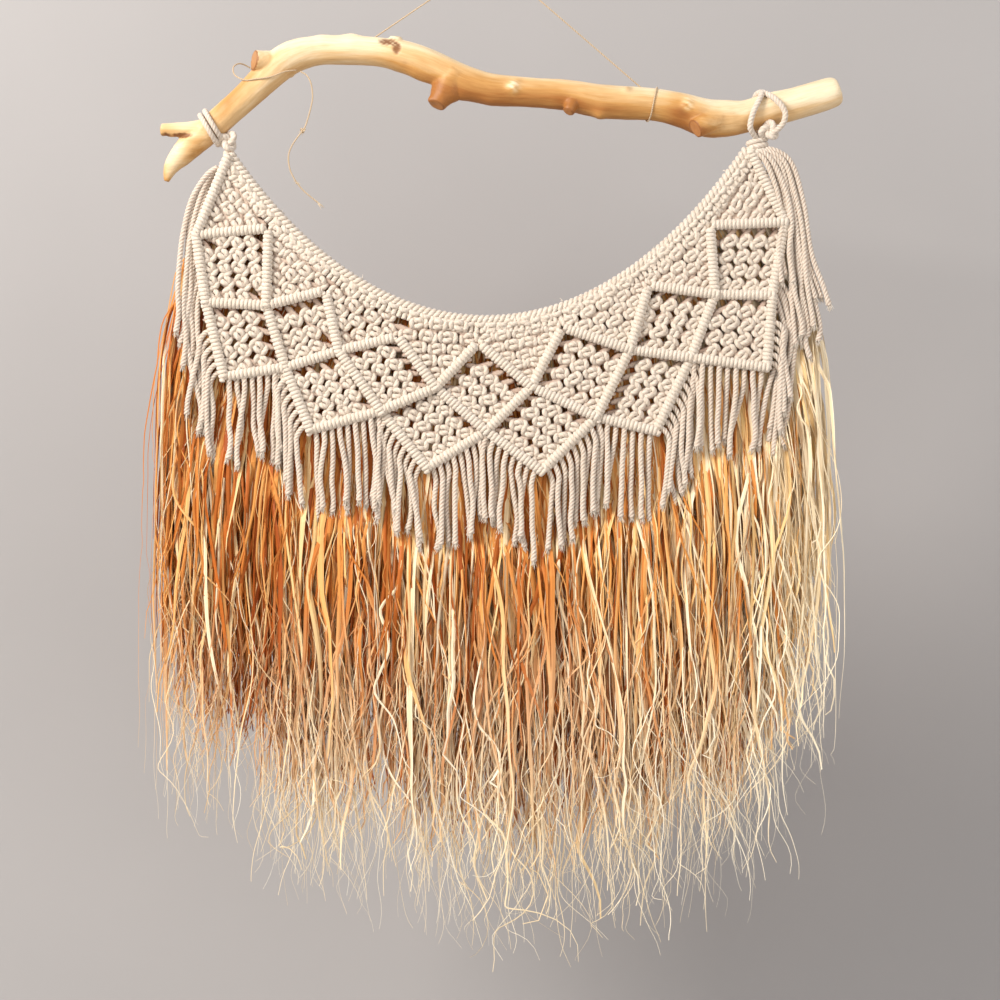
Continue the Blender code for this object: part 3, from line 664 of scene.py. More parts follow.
# Stubs grow out of the branch: across, depth, up and radius at points along each
STUBS = {
    "upper_prong": [(-206, 0, -124, 6.8), (-221.6, -1, -128.2, 6.4), (-236, -1.5, -128.6, 5.4),
                    (-247, -2, -128.6, 4.6)],
    "lower_prong": [(-204, 0, -124, 9), (-218, 0, -134.5, 9.6), (-230, 0.5, -145, 8.8),
                    (-239.5, 1, -156, 5.8), (-243.4, 1.5, -167, 2.2)],
    "sawn_stub": [(-148, 4, -80, 9.2), (-163, -2, -78.6, 8.6), (-177, -8.5, -77.4, 7.7)],
    "blunt_stub": [(-27, 0, -87, 13), (-32.5, -2, -96, 11.5), (-37, -4, -104, 8.8),
                   (-40.5, -6.5, -111, 6.4)],
    "side_stub": [(178, -2, -118, 10), (165, -8, -123, 8.6), (152.5, -13, -129.5, 7.2)],
    "small_stub": [(62, -4, -104, 6.4), (59.5, -9, -113, 4.6), (58, -10.5, -116.5, 4.2)],
    "crest_bump": [(-72, -1, -68, 7.5), (-71, -2, -58.6, 4.4)],
}
CUT_STUBS = ("sawn_stub", "side_stub", "blunt_stub", "small_stub")
# Swellings: across, depth, up, width and height
SWELLINGS = [(0, -3, -104, 5.5, 2.2), (82, -6, -117, 5.0, 3.0), (-56, -5, -84, 6.0, 1.6),
             (146.6, -10, -111.5, 4.0, 2.6), (-104, -2, -58, 6.0, 1.3), (-126, -3, -62, 5.0, 1.2),
             (16.8, -10, -97.5, 4.2, 2.8), (159, -10, -116.5, 6.0, 1.2), (-196, -4, -112, 6.0, 1.0),
             (102, -9, -99, 3.2, 1.9), (-52, -5, -92, 7.0, 1.8), (-24, -5, -104, 7.0, 3.0),
             (-45, -8, -107, 2.6, 1.4), (-36, -10, -103, 2.4, 1.0)]
# Warm and pale stretches: across, width and strength
STRETCHES = [(30, 75, 0.34), (142, 12, 0.40), (245, 40, -0.36), (-120, 50, -0.20)]
# Torn places: across, up, width, height and depth
TORN = [(-77, -63.5, 7, 3.4, 1.2), (-70, -68.5, 3.6, 5.6, 1.2), (-231, -133.5, 7.5, 1.9, 1.6),
        (-243, -133.5, 5.0, 2.6, 1.2)]
# Dark eyes: across, up, width and strength
EYES = [(102, -99, 2.2, 0.5), (158, -116.5, 4.2, 0.28), (22, -92, 2.4, 0.4), (143, -117, 3.4, 0.45),
        (-181, -84, 3.0, 0.5), (-64, -80, 2.0, 0.2)]
PALE_GROWTHS = [(16.8, -98, 4.4), (146.6, -111.5, 4.0)]


def round_tube(route, sides=28, spacing=2.0 * MM):
    """Rings of a plain tube along route rows of across, depth, up and radius."""
    rows = smooth_path(np.array(route, float) * MM, 6)
    rows = resampled(rows, max(4, int(path_length(rows[:, :3]) / spacing)))[None]
    return rings_round(rows[..., :3], rows[..., 3, None, None], WHOLE_TURN * np.arange(sides) / sides)[0]


def add_raw_tube(mesh_parts, rings):
    """Adds the points and faces of a closed tube to a list of mesh parts."""
    n, k, _ = rings.shape
    base = sum(len(v) for v, _ in mesh_parts)
    index = np.arange(n * k).reshape(n, k) + base
    a, b = index[:-1], index[1:]
    quads = np.stack([a, np.roll(a, -1, 1), np.roll(b, -1, 1), b], -1).reshape(-1, 4).tolist()
    quads.append(index[0, ::-1].tolist())
    quads.append(index[-1].tolist())
    mesh_parts.append((rings.reshape(-1, 3), quads))


def wave_noise(points, scale, seed, octaves=3):
    """Smooth repeatable noise at points, from sums of turned sine waves."""
    rng = np.random.default_rng(seed)
    total = np.zeros(len(points))
    size = 1.0
    for _ in range(octaves):
        for _ in range(5):
            way = unit(rng.normal(size=3)) * scale * WHOLE_TURN * rng.uniform(0.6, 1.4)
            total += size * np.sin(points @ way + rng.uniform(0, 6.28))
        scale *= 2.1
        size *= 0.5
    return total / 5


def fused_branch():
    """Trunk and stubs run together into one smooth mesh."""
    parts = []
    trunk = np.array([(x, 0, up, share * BRANCH_RADIUS) for x, up, share in BRANCH])
    add_raw_tube(parts, round_tube(trunk, sides=40))
    for route in STUBS.values():
        add_raw_tube(parts, round_tube(route, sides=26, spacing=1.5 * MM))
    mesh = bpy.data.meshes.new("branch_raw")
    mesh.from_pydata(np.vstack([v for v, _ in parts]).tolist(), [], sum((f for _, f in parts), []))
    raw = placed("branch_raw", mesh)
    remesh = raw.modifiers.new("fuse", "REMESH")
    remesh.mode = "VOXEL"
    remesh.voxel_size = 0.85 * MM
    smooth = raw.modifiers.new("soften", "SMOOTH")
    smooth.factor = 0.5
    smooth.iterations = 7
    bpy.context.view_layer.update()
    graph = bpy.context.evaluated_depsgraph_get()
    fused = bpy.data.meshes.new_from_object(raw.evaluated_get(graph))
    bpy.data.objects.remove(raw)
    bpy.data.meshes.remove(mesh)
    return fused


def point_values(mesh, field):
    """A vector for every point of a mesh, one row each."""
    values = np.empty(len(mesh.vertices) * 3, np.float32)
    mesh.vertices.foreach_get(field, values)
    return values.reshape(-1, 3)


def band(across, x, wide):
    """One at a place across, fading over a width to each side."""
    return np.exp(-((across - x * MM) / (wide * MM)) ** 2)


def below(height, level, blur):
    """One below a level and none above it."""
    return 1 / (1 + np.exp((height - level * MM) / (blur * MM)))


def spot(places, x, y, up, wide, squash=(1, 1, 1)):
    """One at a point, fading over a width all round it."""
    distance = np.linalg.norm((places - np.array([x, y, up]) * MM) * squash, axis=1)
    return np.exp(-(distance / (wide * MM)) ** 2)


def make_branch(material):
    fused = fused_branch()
    co = point_values(fused, "co").astype(float)
    normal = point_values(fused, "normal")
    n = len(co)
    line = resampled(BRANCH_PATH, 500)
    centre = np.stack([line[:, 0], np.zeros(len(line)), line[:, 1]], 1)
    nearest = np.empty(n, int)
    for lo in range(0, n, 8000):
        gap = co[lo:lo + 8000, None, :] - centre[None]
        nearest[lo:lo + 8000] = (gap ** 2).sum(-1).argmin(1)
    away = co - centre[nearest]
    grain = np.stack([lengths_along(centre[None])[0][nearest], away[:, 1], away[:, 2]], 1)

    lump = wave_noise(co, 18, 3) * 0.45 + wave_noise(grain * (1, 3, 3), 26, 5) * 0.28
    push = (lump + wave_noise(grain * (1, 9, 9), 30, 8) * 0.13) * MM
    for x, y, up, wide, high in SWELLINGS:
        push += high * MM * spot(co, x, y, up, wide)
    bark = np.zeros(n)
    end_cut = np.zeros(n)
    # darker, warmer orange towards the underside of the branch
    warmth = np.clip(0.30 - 0.33 * away[:, 2] / (BRANCH_RADIUS * MM), 0, 1)
    for name, route in STUBS.items():
        *tip, radius = np.array(route[-1]) * MM
        way = unit(tip - np.array(route[-2][:3]) * MM)
        gap = co - tip
        depth = gap @ way
        across = np.linalg.norm(gap - depth[:, None] * way, axis=1)
        warmth += 0.16 * np.clip(1.6 - np.linalg.norm(gap, axis=1) / (2.4 * radius), 0, 1)
        if name in CUT_STUBS:
            face = (np.abs(depth) < 1.3 * MM) & (across < radius * 1.05) & (normal @ way > 0.35)
            end_cut[face] = 1.0
            bark += 0.75 * np.exp(-((across - radius * 0.92) / (0.6 * MM)) ** 2) * face
            push -= 0.25 * MM * np.exp(-(across / (1.2 * MM)) ** 2) * face
    for x, wide, strength in STRETCHES:
        warmth += strength * band(co[:, 0], x, wide)
    warmth += 0.26 * band(co[:, 0], -20, 30) * below(co[:, 2], -92, 3)
    warmth += 0.50 * band(co[:, 0], -196, 18) * below(-away[:, 2], 0, 2.5)
    warmth -= 0.75 * band(co[:, 0], -238, 14) * below(co[:, 2], -140, 2)
    for x, up, wide, high, deep in TORN:
        gap = (co - np.array([x, -9, up]) * MM) / (np.array([wide, 12, high]) * MM)
        torn = np.clip(deep - (gap ** 2).sum(1) - 0.5 * wave_noise(co, 260, 12, 2), 0, 1)
        bark += torn
        push -= 0.7 * MM * torn
    for x, up, wide, dark in EYES:
        bark += dark * spot(co, x, -12, up, wide, (1, 0.5, 1))
    ragged = np.clip(1 + 1.3 * wave_noise(co, 230, 21, 2), 0, 1.6)
    for x, up, wide in PALE_GROWTHS:
        warmth -= 0.42 * ragged * spot(co, x, -13, up, wide, (1, 0.4, 0.8))
    co += normal * push[:, None]
    fused.vertices.foreach_set("co", co.astype(np.float32).ravel())
    fused.polygons.foreach_set("use_smooth", np.ones(len(fused.polygons), bool))
    for name, values in (("warmth", warmth), ("cut_end", end_cut), ("bark", np.clip(bark, 0, 1)),
                         ("grain_at", grain)):
        add_mark(fused, name, values)
    fused.name = "peeled_branch"
    fused.materials.clear()
    fused.materials.append(material)
    branch = placed("peeled_branch", fused)
    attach(branch, ROOT)
    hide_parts("driftwood_branch")


# ---------------------------------------------------------------- hanging loops

def trefoil(centre, size, turn):
    """A tight overhand knot, seen from the front."""
    t = np.linspace(0, WHOLE_TURN, 90)
    x, z = np.sin(t) + 2 * np.sin(2 * t), np.cos(t) - 2 * np.cos(2 * t)
    c, s = math.cos(turn), math.sin(turn)
    return centre + size * np.stack([c * x - s * z, -1.15 * np.sin(3 * t), s * x + c * z], 1)


def ring_round_branch(station, shift, tilt, reach):
    """A turn of cord round the branch; tilt leans it along the branch."""
    centre, along, upward, radius = branch_at(station * MM)
    t = np.linspace(-0.5 * np.pi, 1.5 * np.pi, 90)
    slide = shift * MM + tilt * MM * np.sin(t)
    return (centre + along * slide[:, None]
            + (radius + reach * MM) * (np.cos(t)[:, None] * FRONT + np.sin(t)[:, None] * upward))


# The two turns of the right hanging loop: across, depth and up
RIGHT_LOOP_FRONT = [(199, -7, -136), (193.5, -13.5, -129), (195, -15.6, -119),
                    (199, -14.8, -110), (202.5, -9.5, -103), (204, 0, -100.5), (204.5, 10, -103.5),
                    (203, 15, -113), (201, 13, -125), (201, 6, -134)]
RIGHT_LOOP_SIDE = [(205, -8, -134), (211, -12.5, -132), (217.5, -16, -126), (219, -17, -117.5),
                   (213.5, -15.6, -109), (206.5, -9.5, -103), (201.5, -1, -100.6), (199, 10, -103),
                   (198, 15, -113), (199, 13, -125), (202, 5, -134)]


def wound_turns(centre, wide, deep, rise, turns):
    """Level turns of cord wound one below another."""
    t = np.linspace(0, turns * WHOLE_TURN, 100)
    return centre + np.stack([wide * np.cos(t), -deep * np.sin(t),
                              -rise * t / WHOLE_TURN + 0.9 * np.cos(t)], 1) * MM


def make_loops(material):
    piece = Piece("left_loop_cords")
    rings = [ring_round_branch(LOOP_STATIONS[0], shift, 2.4, 2.4) for shift in (-5.6, -0.9)]
    add_cords(piece, rings, 2.1 * MM, depth=0.14, mark=0.5)
    knot = on_branch(LOOP_STATIONS[0], -90, CLEAR + KNOT_RADIUS) + np.array([-0.6, -3.4, -0.6]) * MM
    add_cords(piece, [trefoil(knot, 2.15 * MM, 0.4)], 2.5 * MM, depth=0.1, mark=0.35)
    neck = wound_turns(knot + np.array([0.8, 2.0, -6.5]) * MM, 2.6, 2.4, 3.4, 1.6)
    add_cords(piece, [neck], 2.0 * MM, depth=0.08, mark=0.3)
    piece.build(material, "cotton_cord", ROOT, "left_hanging_loop")

    piece = Piece("right_loop_cords")
    for route in (RIGHT_LOOP_FRONT, RIGHT_LOOP_SIDE):
        loop = resampled(smooth_path(np.array(route, float) * MM, 8), 130)
        add_cords(piece, [loop], 2.3 * MM, depth=0.16, mark=0.5)
    knot = np.array([207.6, -9.5, -130.4]) * MM
    add_cords(piece, [trefoil(knot, 2.05 * MM, 0.9)], 2.6 * MM, depth=0.1, mark=0.35)
    neck = wound_turns(np.array([199.5, -3.5, -136.4]) * MM, 6.4, 4.6, 4.2, 2.3)
    add_cords(piece, [neck], 2.3 * MM, depth=0.1, mark=0.35)
    piece.build(material, "cotton_cord", ROOT, "right_hanging_loop")


# ---------------------------------------------------------------- bib

def corner(point, y):
    """A design point across and up, in metres and at a depth."""
    return np.array([point[0] * MM, y, point[1] * MM])


def inside(outline, point):
    """Whether a flat point is inside an outline, and how far from its edges."""
    hit, nearest = False, 1e9
    for a, b in zip(outline, np.roll(outline, -1, 0)):
        if (a[1] > point[1]) != (b[1] > point[1]):
            if point[0] < (b[0] - a[0]) * (point[1] - a[1]) / (b[1] - a[1]) + a[0]:
                hit = not hit
        if (a == b).all():
            continue
        t = np.clip(np.dot(point - a, b - a) / np.dot(b - a, b - a), 0, 1)
        nearest = min(nearest, float(np.linalg.norm(a + t * (b - a) - point)))
    return hit, nearest


def knot_grid(left, bottom, right, outline, y, edge):
    """Square knots on a grid along the two lower ribs of a panel.

    Returns centres, the two grid steps, and links between neighbours.
    """
    count_a = max(3, round(np.linalg.norm(bottom - left) / CELL))
    count_b = max(3, round(np.linalg.norm(bottom - right) / CELL))
    step_a = (bottom - left) / count_a
    step_b = (bottom - right) / count_b
    centres, keys = [], {}
    middle = outline.mean(0)
    size = np.linalg.norm(outline - middle, axis=1).max()
    for a in range(-3, count_a):
        for b in range(-3, count_b):
            flat = bottom - step_a * (count_a - 1 - a + 0.62) - step_b * (count_b - 1 - b + 0.62)
            ok, gap = inside(outline, flat)
            if not ok or gap < edge:
                continue
            bulge = 1.0 * MM * (1 - (np.linalg.norm(flat - middle) / size) ** 2)
            keys[(a, b)] = len(centres)
            centres.append([flat[0], y - bulge, flat[1]])
    return np.array(centres), step_a, step_b, keys


# The four cords of a square knot, in a knot 11.6 wide: across, up and forward
KNOT_BARS = [
    [(-3.3, 0.4, -1.0), (-2.0, 2.0, 1.6), (0.3, 2.5, 2.5), (2.4, 1.5, 1.6), (3.3, 0.0, -1.0)],
    [(3.3, -0.2, -1.0), (2.0, -1.4, 1.5), (-0.3, -2.3, 2.3), (-2.4, -2.3, 1.4), (-3.3, -0.8, -1.0)],
]
KNOT_PURLS = [
    [(-3.7, 4.0, -1.2), (-5.1, 2.4, 1.3), (-5.7, 0.1, 2.3), (-5.0, -2.2, 1.2), (-3.6, -3.7, -1.0)],
    [(3.7, 3.6, -1.2), (5.1, 1.9, 1.2), (5.7, -0.4, 2.1), (5.0, -2.6, 1.0), (3.6, -4.2, -1.2)],
]
KNOT_SIZE = 11.6
LINK_PLACES = ((1.2, 3.3), (3.3, 1.2))      # where two links leave one knot and meet the next


def square_knots(piece, centres, step_a, step_b, keys):
    """Cords of square knots and of the links that join each to its neighbours."""
    a3 = np.array([step_a[0], 0, step_a[1]])
    b3 = np.array([step_b[0], 0, step_b[1]])
    down = unit(a3 + b3)
    side = unit(np.cross(down, -FRONT))
    if side @ (b3 - a3) > 0:
        side = -side
    scale = (np.linalg.norm(a3) + np.linalg.norm(b3)) / 2 / (KNOT_SIZE * MM) * MM
    basis = np.stack([side, -down, FRONT])
    m = len(centres)
    wobble = RNG.normal(0, 0.38, (m, 1, 3)) * MM
    lean = RNG.normal(0, 0.15, (m, 1))
    grow = RNG.uniform(0.94, 1.08, (m, 1, 1))
    mirror = np.ones((m, 1, 3))
    mirror[:, 0, 0] = np.where(RNG.uniform(0, 1, m) < 0.5, -1, 1)
    # cord behind this depth is given painted shade
    near_front = centres[:, 1].mean() - 2.6 * MM

    def lay_out(points, count):
        x, up, forward = np.moveaxis(resampled(smooth_path(points, 4), count) * scale * mirror, -1, 0)
        turned = np.stack([x * np.cos(lean) - up * np.sin(lean), x * np.sin(lean) + up * np.cos(lean),
                           forward], -1)
        return centres[:, None] + wobble + turned * grow @ basis

    for cords, count in ((KNOT_BARS, 15), (KNOT_PURLS, 13)):
        for cord in cords:
            add_pulled(piece, lay_out(cord, count), KNOT_CORD, 0.08, 0.35, front=near_front)

    links = []
    for (a, b), i in keys.items():
        for step, sign, other in ((a3, -1, (a + 1, b)), (b3, 1, (a, b + 1))):
            end = centres[keys[other]] if other in keys else centres[i] + step * 0.86
            for near, far in LINK_PLACES:
                start = centres[i] + side * sign * scale * near + FRONT * 0.2 * MM
                stop = end - side * sign * scale * far + FRONT * 0.2 * MM
                links.append((start, start + down * 4.6 * scale, stop - down * 4.6 * scale, stop))
        for step, sign, other in ((a3, -1, (a - 1, b)), (b3, 1, (a, b - 1))):
            if other in keys:
                continue
            for near, far in LINK_PLACES:
                start = centres[i] - side * sign * scale * near
                stop = centres[i] - step * 0.80 + side * sign * scale * far
                links.append((start, start - down * 4.6 * scale, stop + down * 3.0 * scale, stop))
    t = np.linspace(0, 1, 12)[None, :, None]
    p0, p1, p2, p3 = np.moveaxis(np.array(links), 1, 0)[:, :, None]
    curve = (p0 * (1 - t) ** 3 + 3 * p1 * t * (1 - t) ** 2 + 3 * p2 * t ** 2 * (1 - t) + p3 * t ** 3)
    curve[:, :, 1] += 0.9 * MM
    add_pulled(piece, curve, KNOT_CORD, 0.08, 0.35, front=near_front)


def make_panels(material):
    j, k, m, n = (np.array(row) * MM for row in (ROW_J, ROW_K, ROW_M, ROW_N))
    places = np.linspace(RIM_START[0], RIM_END[0], 800)
    rim = np.stack([places, rim_height(places)], 1)

    def rim_index(point):
        return int(np.linalg.norm(rim - point, axis=1).argmin())

    panels = []
    for i, level in enumerate(RIM_LEVELS):
        top = rim[rim_index(j[i]):rim_index(j[i + 1]) + 1:12][::-1]
        outline = np.vstack([[j[i], k[i], j[i + 1]], top])
        panels.append(("rim_panel_%d" % (i + 1), j[i], k[i], j[i + 1], outline, level, 4.4))
    for i, level in enumerate(UPPER_LEVELS):
        outline = np.array([j[i + 1], k[i], m[i], k[i + 1]])
        panels.append(("upper_panel_%d" % (i + 1), k[i], m[i], k[i + 1], outline, level, 5.4))
    for i, level in enumerate(LOWER_LEVELS):
        outline = np.array([k[i + 1], m[i], n[i], m[i + 1]])
        panels.append(("lower_panel_%d" % (i + 1), m[i], n[i], m[i + 1], outline, level, 5.4))
    for name, left, bottom, right, outline, level, edge in panels:
        piece = Piece(name + "_knots")
        square_knots(piece, *knot_grid(left, bottom, right, outline, LEVEL_Y[level], edge * MM))
        piece.build(material, "cotton_cord", BIB, name)


def coil_round(line, along, up, angle, slide, radius):
    """A cord that winds round a line, sliding to and fro along it."""
    return (line + along * (slide * np.sin(angle))[:, None] + up * (radius * np.sin(angle))[:, None]
            + FRONT * (radius * np.cos(angle))[:, None])


def hitches(start, end):
    """One cord hitched along a rib."""
    length = np.linalg.norm(end - start)
    along = (end - start) / length
    turns = length / HITCH_PITCH
    t = np.linspace(0, turns * WHOLE_TURN, max(24, int(turns * 13)))
    line = start + along * (t / WHOLE_TURN * HITCH_PITCH)[:, None]
    return coil_round(line, along, np.cross(FRONT, along), t + RNG.uniform(0, 6), -0.45 * MM, 2.3 * MM)


def make_ribs(material):
    rows = (("rim", ROW_J, ROW_K, RIM_LEVELS), ("upper", ROW_K, ROW_M, UPPER_LEVELS),
            ("lower", ROW_M, ROW_N, LOWER_LEVELS))
    for row, upper, tips, levels in rows:
        for i, (tip, level) in enumerate(zip(tips, levels)):
            name = "%s_rib_%d" % (row, i + 1)
            piece = Piece(name + "_hitches")
            y = RIB_LEVEL_Y[level]
            for start, back, past in ((upper[i], -0.7, 2.4), (upper[i + 1], 0.3, -1.6)):
                a, b = corner(start, y + 1.0 * MM), corner(tip, y + back * MM)
                along = unit(b - a)
                a, b = a + along * 2.2 * MM, b + along * past * MM
                add_pulled(piece, [hitches(a, b)], 1.85 * MM, 0.05, 0.2)
                add_pulled(piece, [np.linspace(a, b, 60)], 2.4 * MM, 0.05, 0.2)
            piece.build(material, "cotton_cord", BIB, name)


def make_rim(material):
    """Lark's head knots along the neckline cord."""
    piece = Piece("rim_lark_heads")
    places = np.linspace(RIM_START[0], RIM_END[0], 1200)
    line = np.stack([places, np.full_like(places, RIM_Y - 1.6 * MM), rim_height(places) - 1.6 * MM], 1)
    heads = round(path_length(line) / HEAD_PITCH)
    line = resampled(line, heads * 28 + 1)
    along = unit(np.gradient(line, axis=0))
    up = np.cross(FRONT, along)
    angle = np.linspace(0, heads * 2 * WHOLE_TURN, len(line))
    add_pulled(piece, [coil_round(line, along, up, angle, 0.9 * MM, 2.5 * MM)], 1.95 * MM, 0.07, 0.25)
    add_cords(piece, [resampled(line, 240)], 2.2 * MM)
    bars, legs = [], []
    for h in range(heads):
        at = int(min((h + 0.5) * len(line) / heads, len(line) - 1))
        p, t, u = line[at], along[at], up[at]
        bars.append([p + (t * s - u * (4.1 - 0.14 * s * s) + FRONT * w) * MM
                     for s, w in ((-4.0, 0.2), (-2.6, 2.6), (0, 3.5), (2.6, 2.6), (4.0, 0.2))])
        for s in (-2.1, 2.1):
            legs.append([p + (t * s - u * d + FRONT * w) * MM
                         for d, w in ((1.5, 1.6), (4.0, 1.4), (7.0, 2.2), (10.0, 2.8))])
    for cords, count in ((bars, 13), (legs, 11)):
        add_pulled(piece, [resampled(smooth_path(b, 4), count) for b in cords], 2.0 * MM, 0.08, 0.3)
    loose = (np.linspace(0.12, 0.95, 6) * len(line)).astype(int)
    add_fray(piece, line[loose] + up[loose] * 4.5 * MM, up[loose], count=3, spread=0.8)
    piece.build(material, "cotton_cord", BIB, "rim_cord")


# ---------------------------------------------------------------- fringe

CORD_STEPS = 110                 # points along one cord
FRINGE_PITCH = 6.1 * MM
FRINGE_LENGTH = (47, 59)


def fringe_cord(top, out, drop, drift, y):
    """One cut cord: out of the rib, then hanging, with a small wave."""
    wave = RNG.normal(0, 1.0, 2)
    phase = RNG.uniform(0, 6.28, 2)
    reach = 5.0 + 5.0 * abs(out[0])
    points = [top, top + out * 0.55 * reach * MM, top + out * reach * MM + np.array([0, 0, -5.0 * MM])]
    base = points[-1]
    for f in np.linspace(0, 1, 8)[1:]:
        x = (drift * f + 1.5 * MM * wave[0] * (math.sin(3.4 * f + phase[0]) - math.sin(phase[0]))
             + 0.7 * MM * wave[1] * math.sin(9.0 * f + phase[1]) * f)
        depth = (y - base[1]) * min(1, 2.5 * f) + 0.6 * MM * wave[1] * math.sin(5 * f) * f
        points.append(base + np.array([x, depth, -drop * f]))
    return resampled(smooth_path(points, 5), CORD_STEPS)


def make_fringe(material):
    last = len(ROW_N) - 1
    for i, tip in enumerate(ROW_N):
        name = "fringe_%d" % (i + 1)
        piece = Piece(name + "_cords")
        level = RIB_LEVEL_Y[LOWER_LEVELS[i]]
        paths, tones = [], []
        for side, start in enumerate((ROW_M[i], ROW_M[i + 1])):
            a, b = corner(start, level), corner(tip, level)
            length = np.linalg.norm(b - a)
            count = max(6, round(length / FRINGE_PITCH))
            along = (b - a) / length
            out = unit(np.array([along[2], 0, -along[0]]))
            if out[2] > 0:
                out = -out
            outermost = (i, side) in ((0, 0), (last, 1))
            for c in range(count):
                share = (c + 0.45) / count
                if outermost and share < 0.3:
                    continue
                lay = -1 if c % 2 else 1
                top = a + along * length * share + np.array([0, 1.6 * MM + 0.9 * MM * lay, 0])
                drop = RNG.uniform(*FRINGE_LENGTH) * MM
                inward = (0.5 - share) * (3.0 if side else -3.0)
                drift = (RNG.normal(0, 2.4) + inward) * MM
                paths.append(fringe_cord(top, out, drop, drift, RIB_Y - 0.8 * MM + lay * 1.8 * MM))
                tones.append(RNG.uniform(0, 1))
        add_cord_ends(piece, paths, tones)
        made = piece.build(material, "cotton_cord", None, name)
        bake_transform(made)


def add_cord_ends(piece, paths, tones):
    """Free cords with a cut, opened end each."""
    paths = np.array(paths)
    swell = np.ones(paths.shape[1])
    swell[-12:] += np.linspace(0, 0.22, 12)
    swell[-2:] *= (0.94, 0.7)
    add_cords(piece, paths, CORD_RADIUS, tones=tones, swell=swell, depth=0.27, mark=0.7)
    add_fray(piece, paths[:, -1], paths[:, -1] - paths[:, -6])


# Each bundle of side cords: how many, how far apart, and the way they hang
LEFT_BUNDLES = [
    (2, 4.4, [(-204, -158), (-212, -165), (-223, -184), (-229, -212), (-231, -245), (-230, -268),
              (-234, -292)]),
    (2, 4.6, [(-206, -160), (-213, -172), (-221, -200), (-225, -235), (-227, -262), (-225, -285),
              (-228, -312)]),
    (2, 4.4, [(-210, -170), (-216, -190), (-222, -220), (-222, -250), (-226, -280), (-221, -310),
              (-222, -330)]),
    (3, 4.6, [(-216, -240), (-221, -258), (-223, -290), (-216, -318), (-212, -340), (-216, -364)]),
]
RIGHT_BUNDLES = [
    (3, 4.0, [(197, -145), (205, -150), (212.5, -163), (219, -180), (222, -200), (219, -222),
              (221, -247)]),
    (4, 4.3, [(199, -145), (211, -147.5), (220, -156), (226, -181), (230, -211), (233, -241),
              (240, -276), (237, -288)]),
    (3, 4.2, [(200, -144), (213, -147), (223, -157), (230, -185), (236, -222), (245, -248),
              (250, -266)]),
    (3, 4.4, [(212, -160), (221, -186), (227, -222), (228, -254), (232, -286), (236, -302)]),
    (3, 4.6, [(212, -244), (217, -262), (220, -290), (214, -318), (211, -346), (206, -374)]),
    (3, 4.6, [(214, -240), (222, -258), (224, -286), (221, -314), (218, -338), (213, -356)]),
]


def make_tassels(material):
    t = np.linspace(0, 1, 200)
    for side, bundles in (("left", LEFT_BUNDLES), ("right", RIGHT_BUNDLES)):
        piece = Piece(side + "_tassel_cords")
        paths, tones = [], []
        for order, (count, gap, points) in enumerate(bundles):
            middle = resampled(smooth_path(np.array(points, float) * MM, 8), len(t))
            way = unit(np.gradient(middle, axis=0))
            across = np.stack([-way[:, 1], way[:, 0]], 1)
            for c in range(count):
                off = (c - (count - 1) / 2) * gap * MM * np.minimum(1, 0.3 + 1.6 * t)
                sway = 1.3 * MM * RNG.normal() * np.sin(6 * t + RNG.uniform(0, 6)) * np.minimum(1, 4 * t)
                row = middle + across * (off + sway)[:, None]
                row = row[:int(len(t) * RNG.uniform(0.9, 1.0))]
                y = (-8.4 + 1.1 * order + (1.2 if c % 2 else -1.2)) * MM
                depth = y + 3.0 * MM * np.exp(-t[:len(row)] / 0.05)
                paths.append(resampled(np.stack([row[:, 0], depth, row[:, 1]], 1), 190))
                tones.append(RNG.uniform(0, 0.9))
        add_cord_ends(piece, paths, tones)
        node = side + "_side_tassel"
        made = piece.build(material, "cotton_cord", None, node)
        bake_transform(made)


# ---------------------------------------------------------------- raffia

# The outline of the raffia's tips and of the fringe's ends, and its side edges at some depths
TIPS = [(-262, -585), (-237, -640), (-189, -680), (-137, -706), (-65, -728), (-39, -741),
        (28, -756), (51, -748), (125, -733), (178, -714), (209, -675), (225, -650), (252, -618),
        (270, -575)]
FRINGE_ENDS = [(-262, -235), (-235, -300), (-222, -362), (-170, -385), (-118, -420), (-42, -446),
               (42, -446), (118, -418), (170, -385), (206, -372), (226, -340), (262, -240)]
EDGE_DEPTHS = (0.17, 0.22, 0.30, 0.46, 0.60)
LEFT_EDGE = (-0.214, -0.238, -0.251, -0.256, -0.254)
RIGHT_EDGE = (0.216, 0.238, 0.254, 0.264, 0.262)
CLUMPS = np.sort(np.random.default_rng(5).uniform(-0.262, 0.268, 34))

# Strands from the wall outwards. low and high are how far the tips end above the outline,
# pull how far they gather into clumps, forward how far they lean out, bleach how pale they end
Strand = namedtuple("Strand", "count width uneven stations low high pull lively bends fine grow "
                              "curl_from swing back forward lift bleach")
STRANDS = [
    Strand(count=380, width=4.6, uneven=0.25, stations=30, low=88, high=195, pull=0, lively=0.35,
           bends=14, fine=0.035, grow=0, curl_from=0.9, swing=3, back=9.0, forward=0.5,
           lift=-0.14, bleach=0.62),
    Strand(count=310, width=3.2, uneven=0.36, stations=38, low=58, high=190, pull=0.3, lively=0.5,
           bends=16, fine=0.06, grow=1, curl_from=0.84, swing=6, back=6.0, forward=2.5,
           lift=0.02, bleach=0.84),
    Strand(count=270, width=2.2, uneven=0.65, stations=50, low=22, high=240, pull=0.5, lively=0.66,
           bends=14, fine=0.06, grow=1.4, curl_from=0.76, swing=9, back=3.2, forward=5.0,
           lift=0.20, bleach=1.0),
    Strand(count=300, width=1.15, uneven=0.4, stations=88, low=-8, high=150, pull=0.72, lively=0.95,
           bends=26, fine=0.11, grow=2.8, curl_from=0.66, swing=12, back=3.6, forward=4.0,
           lift=0.34, bleach=1.1),
]


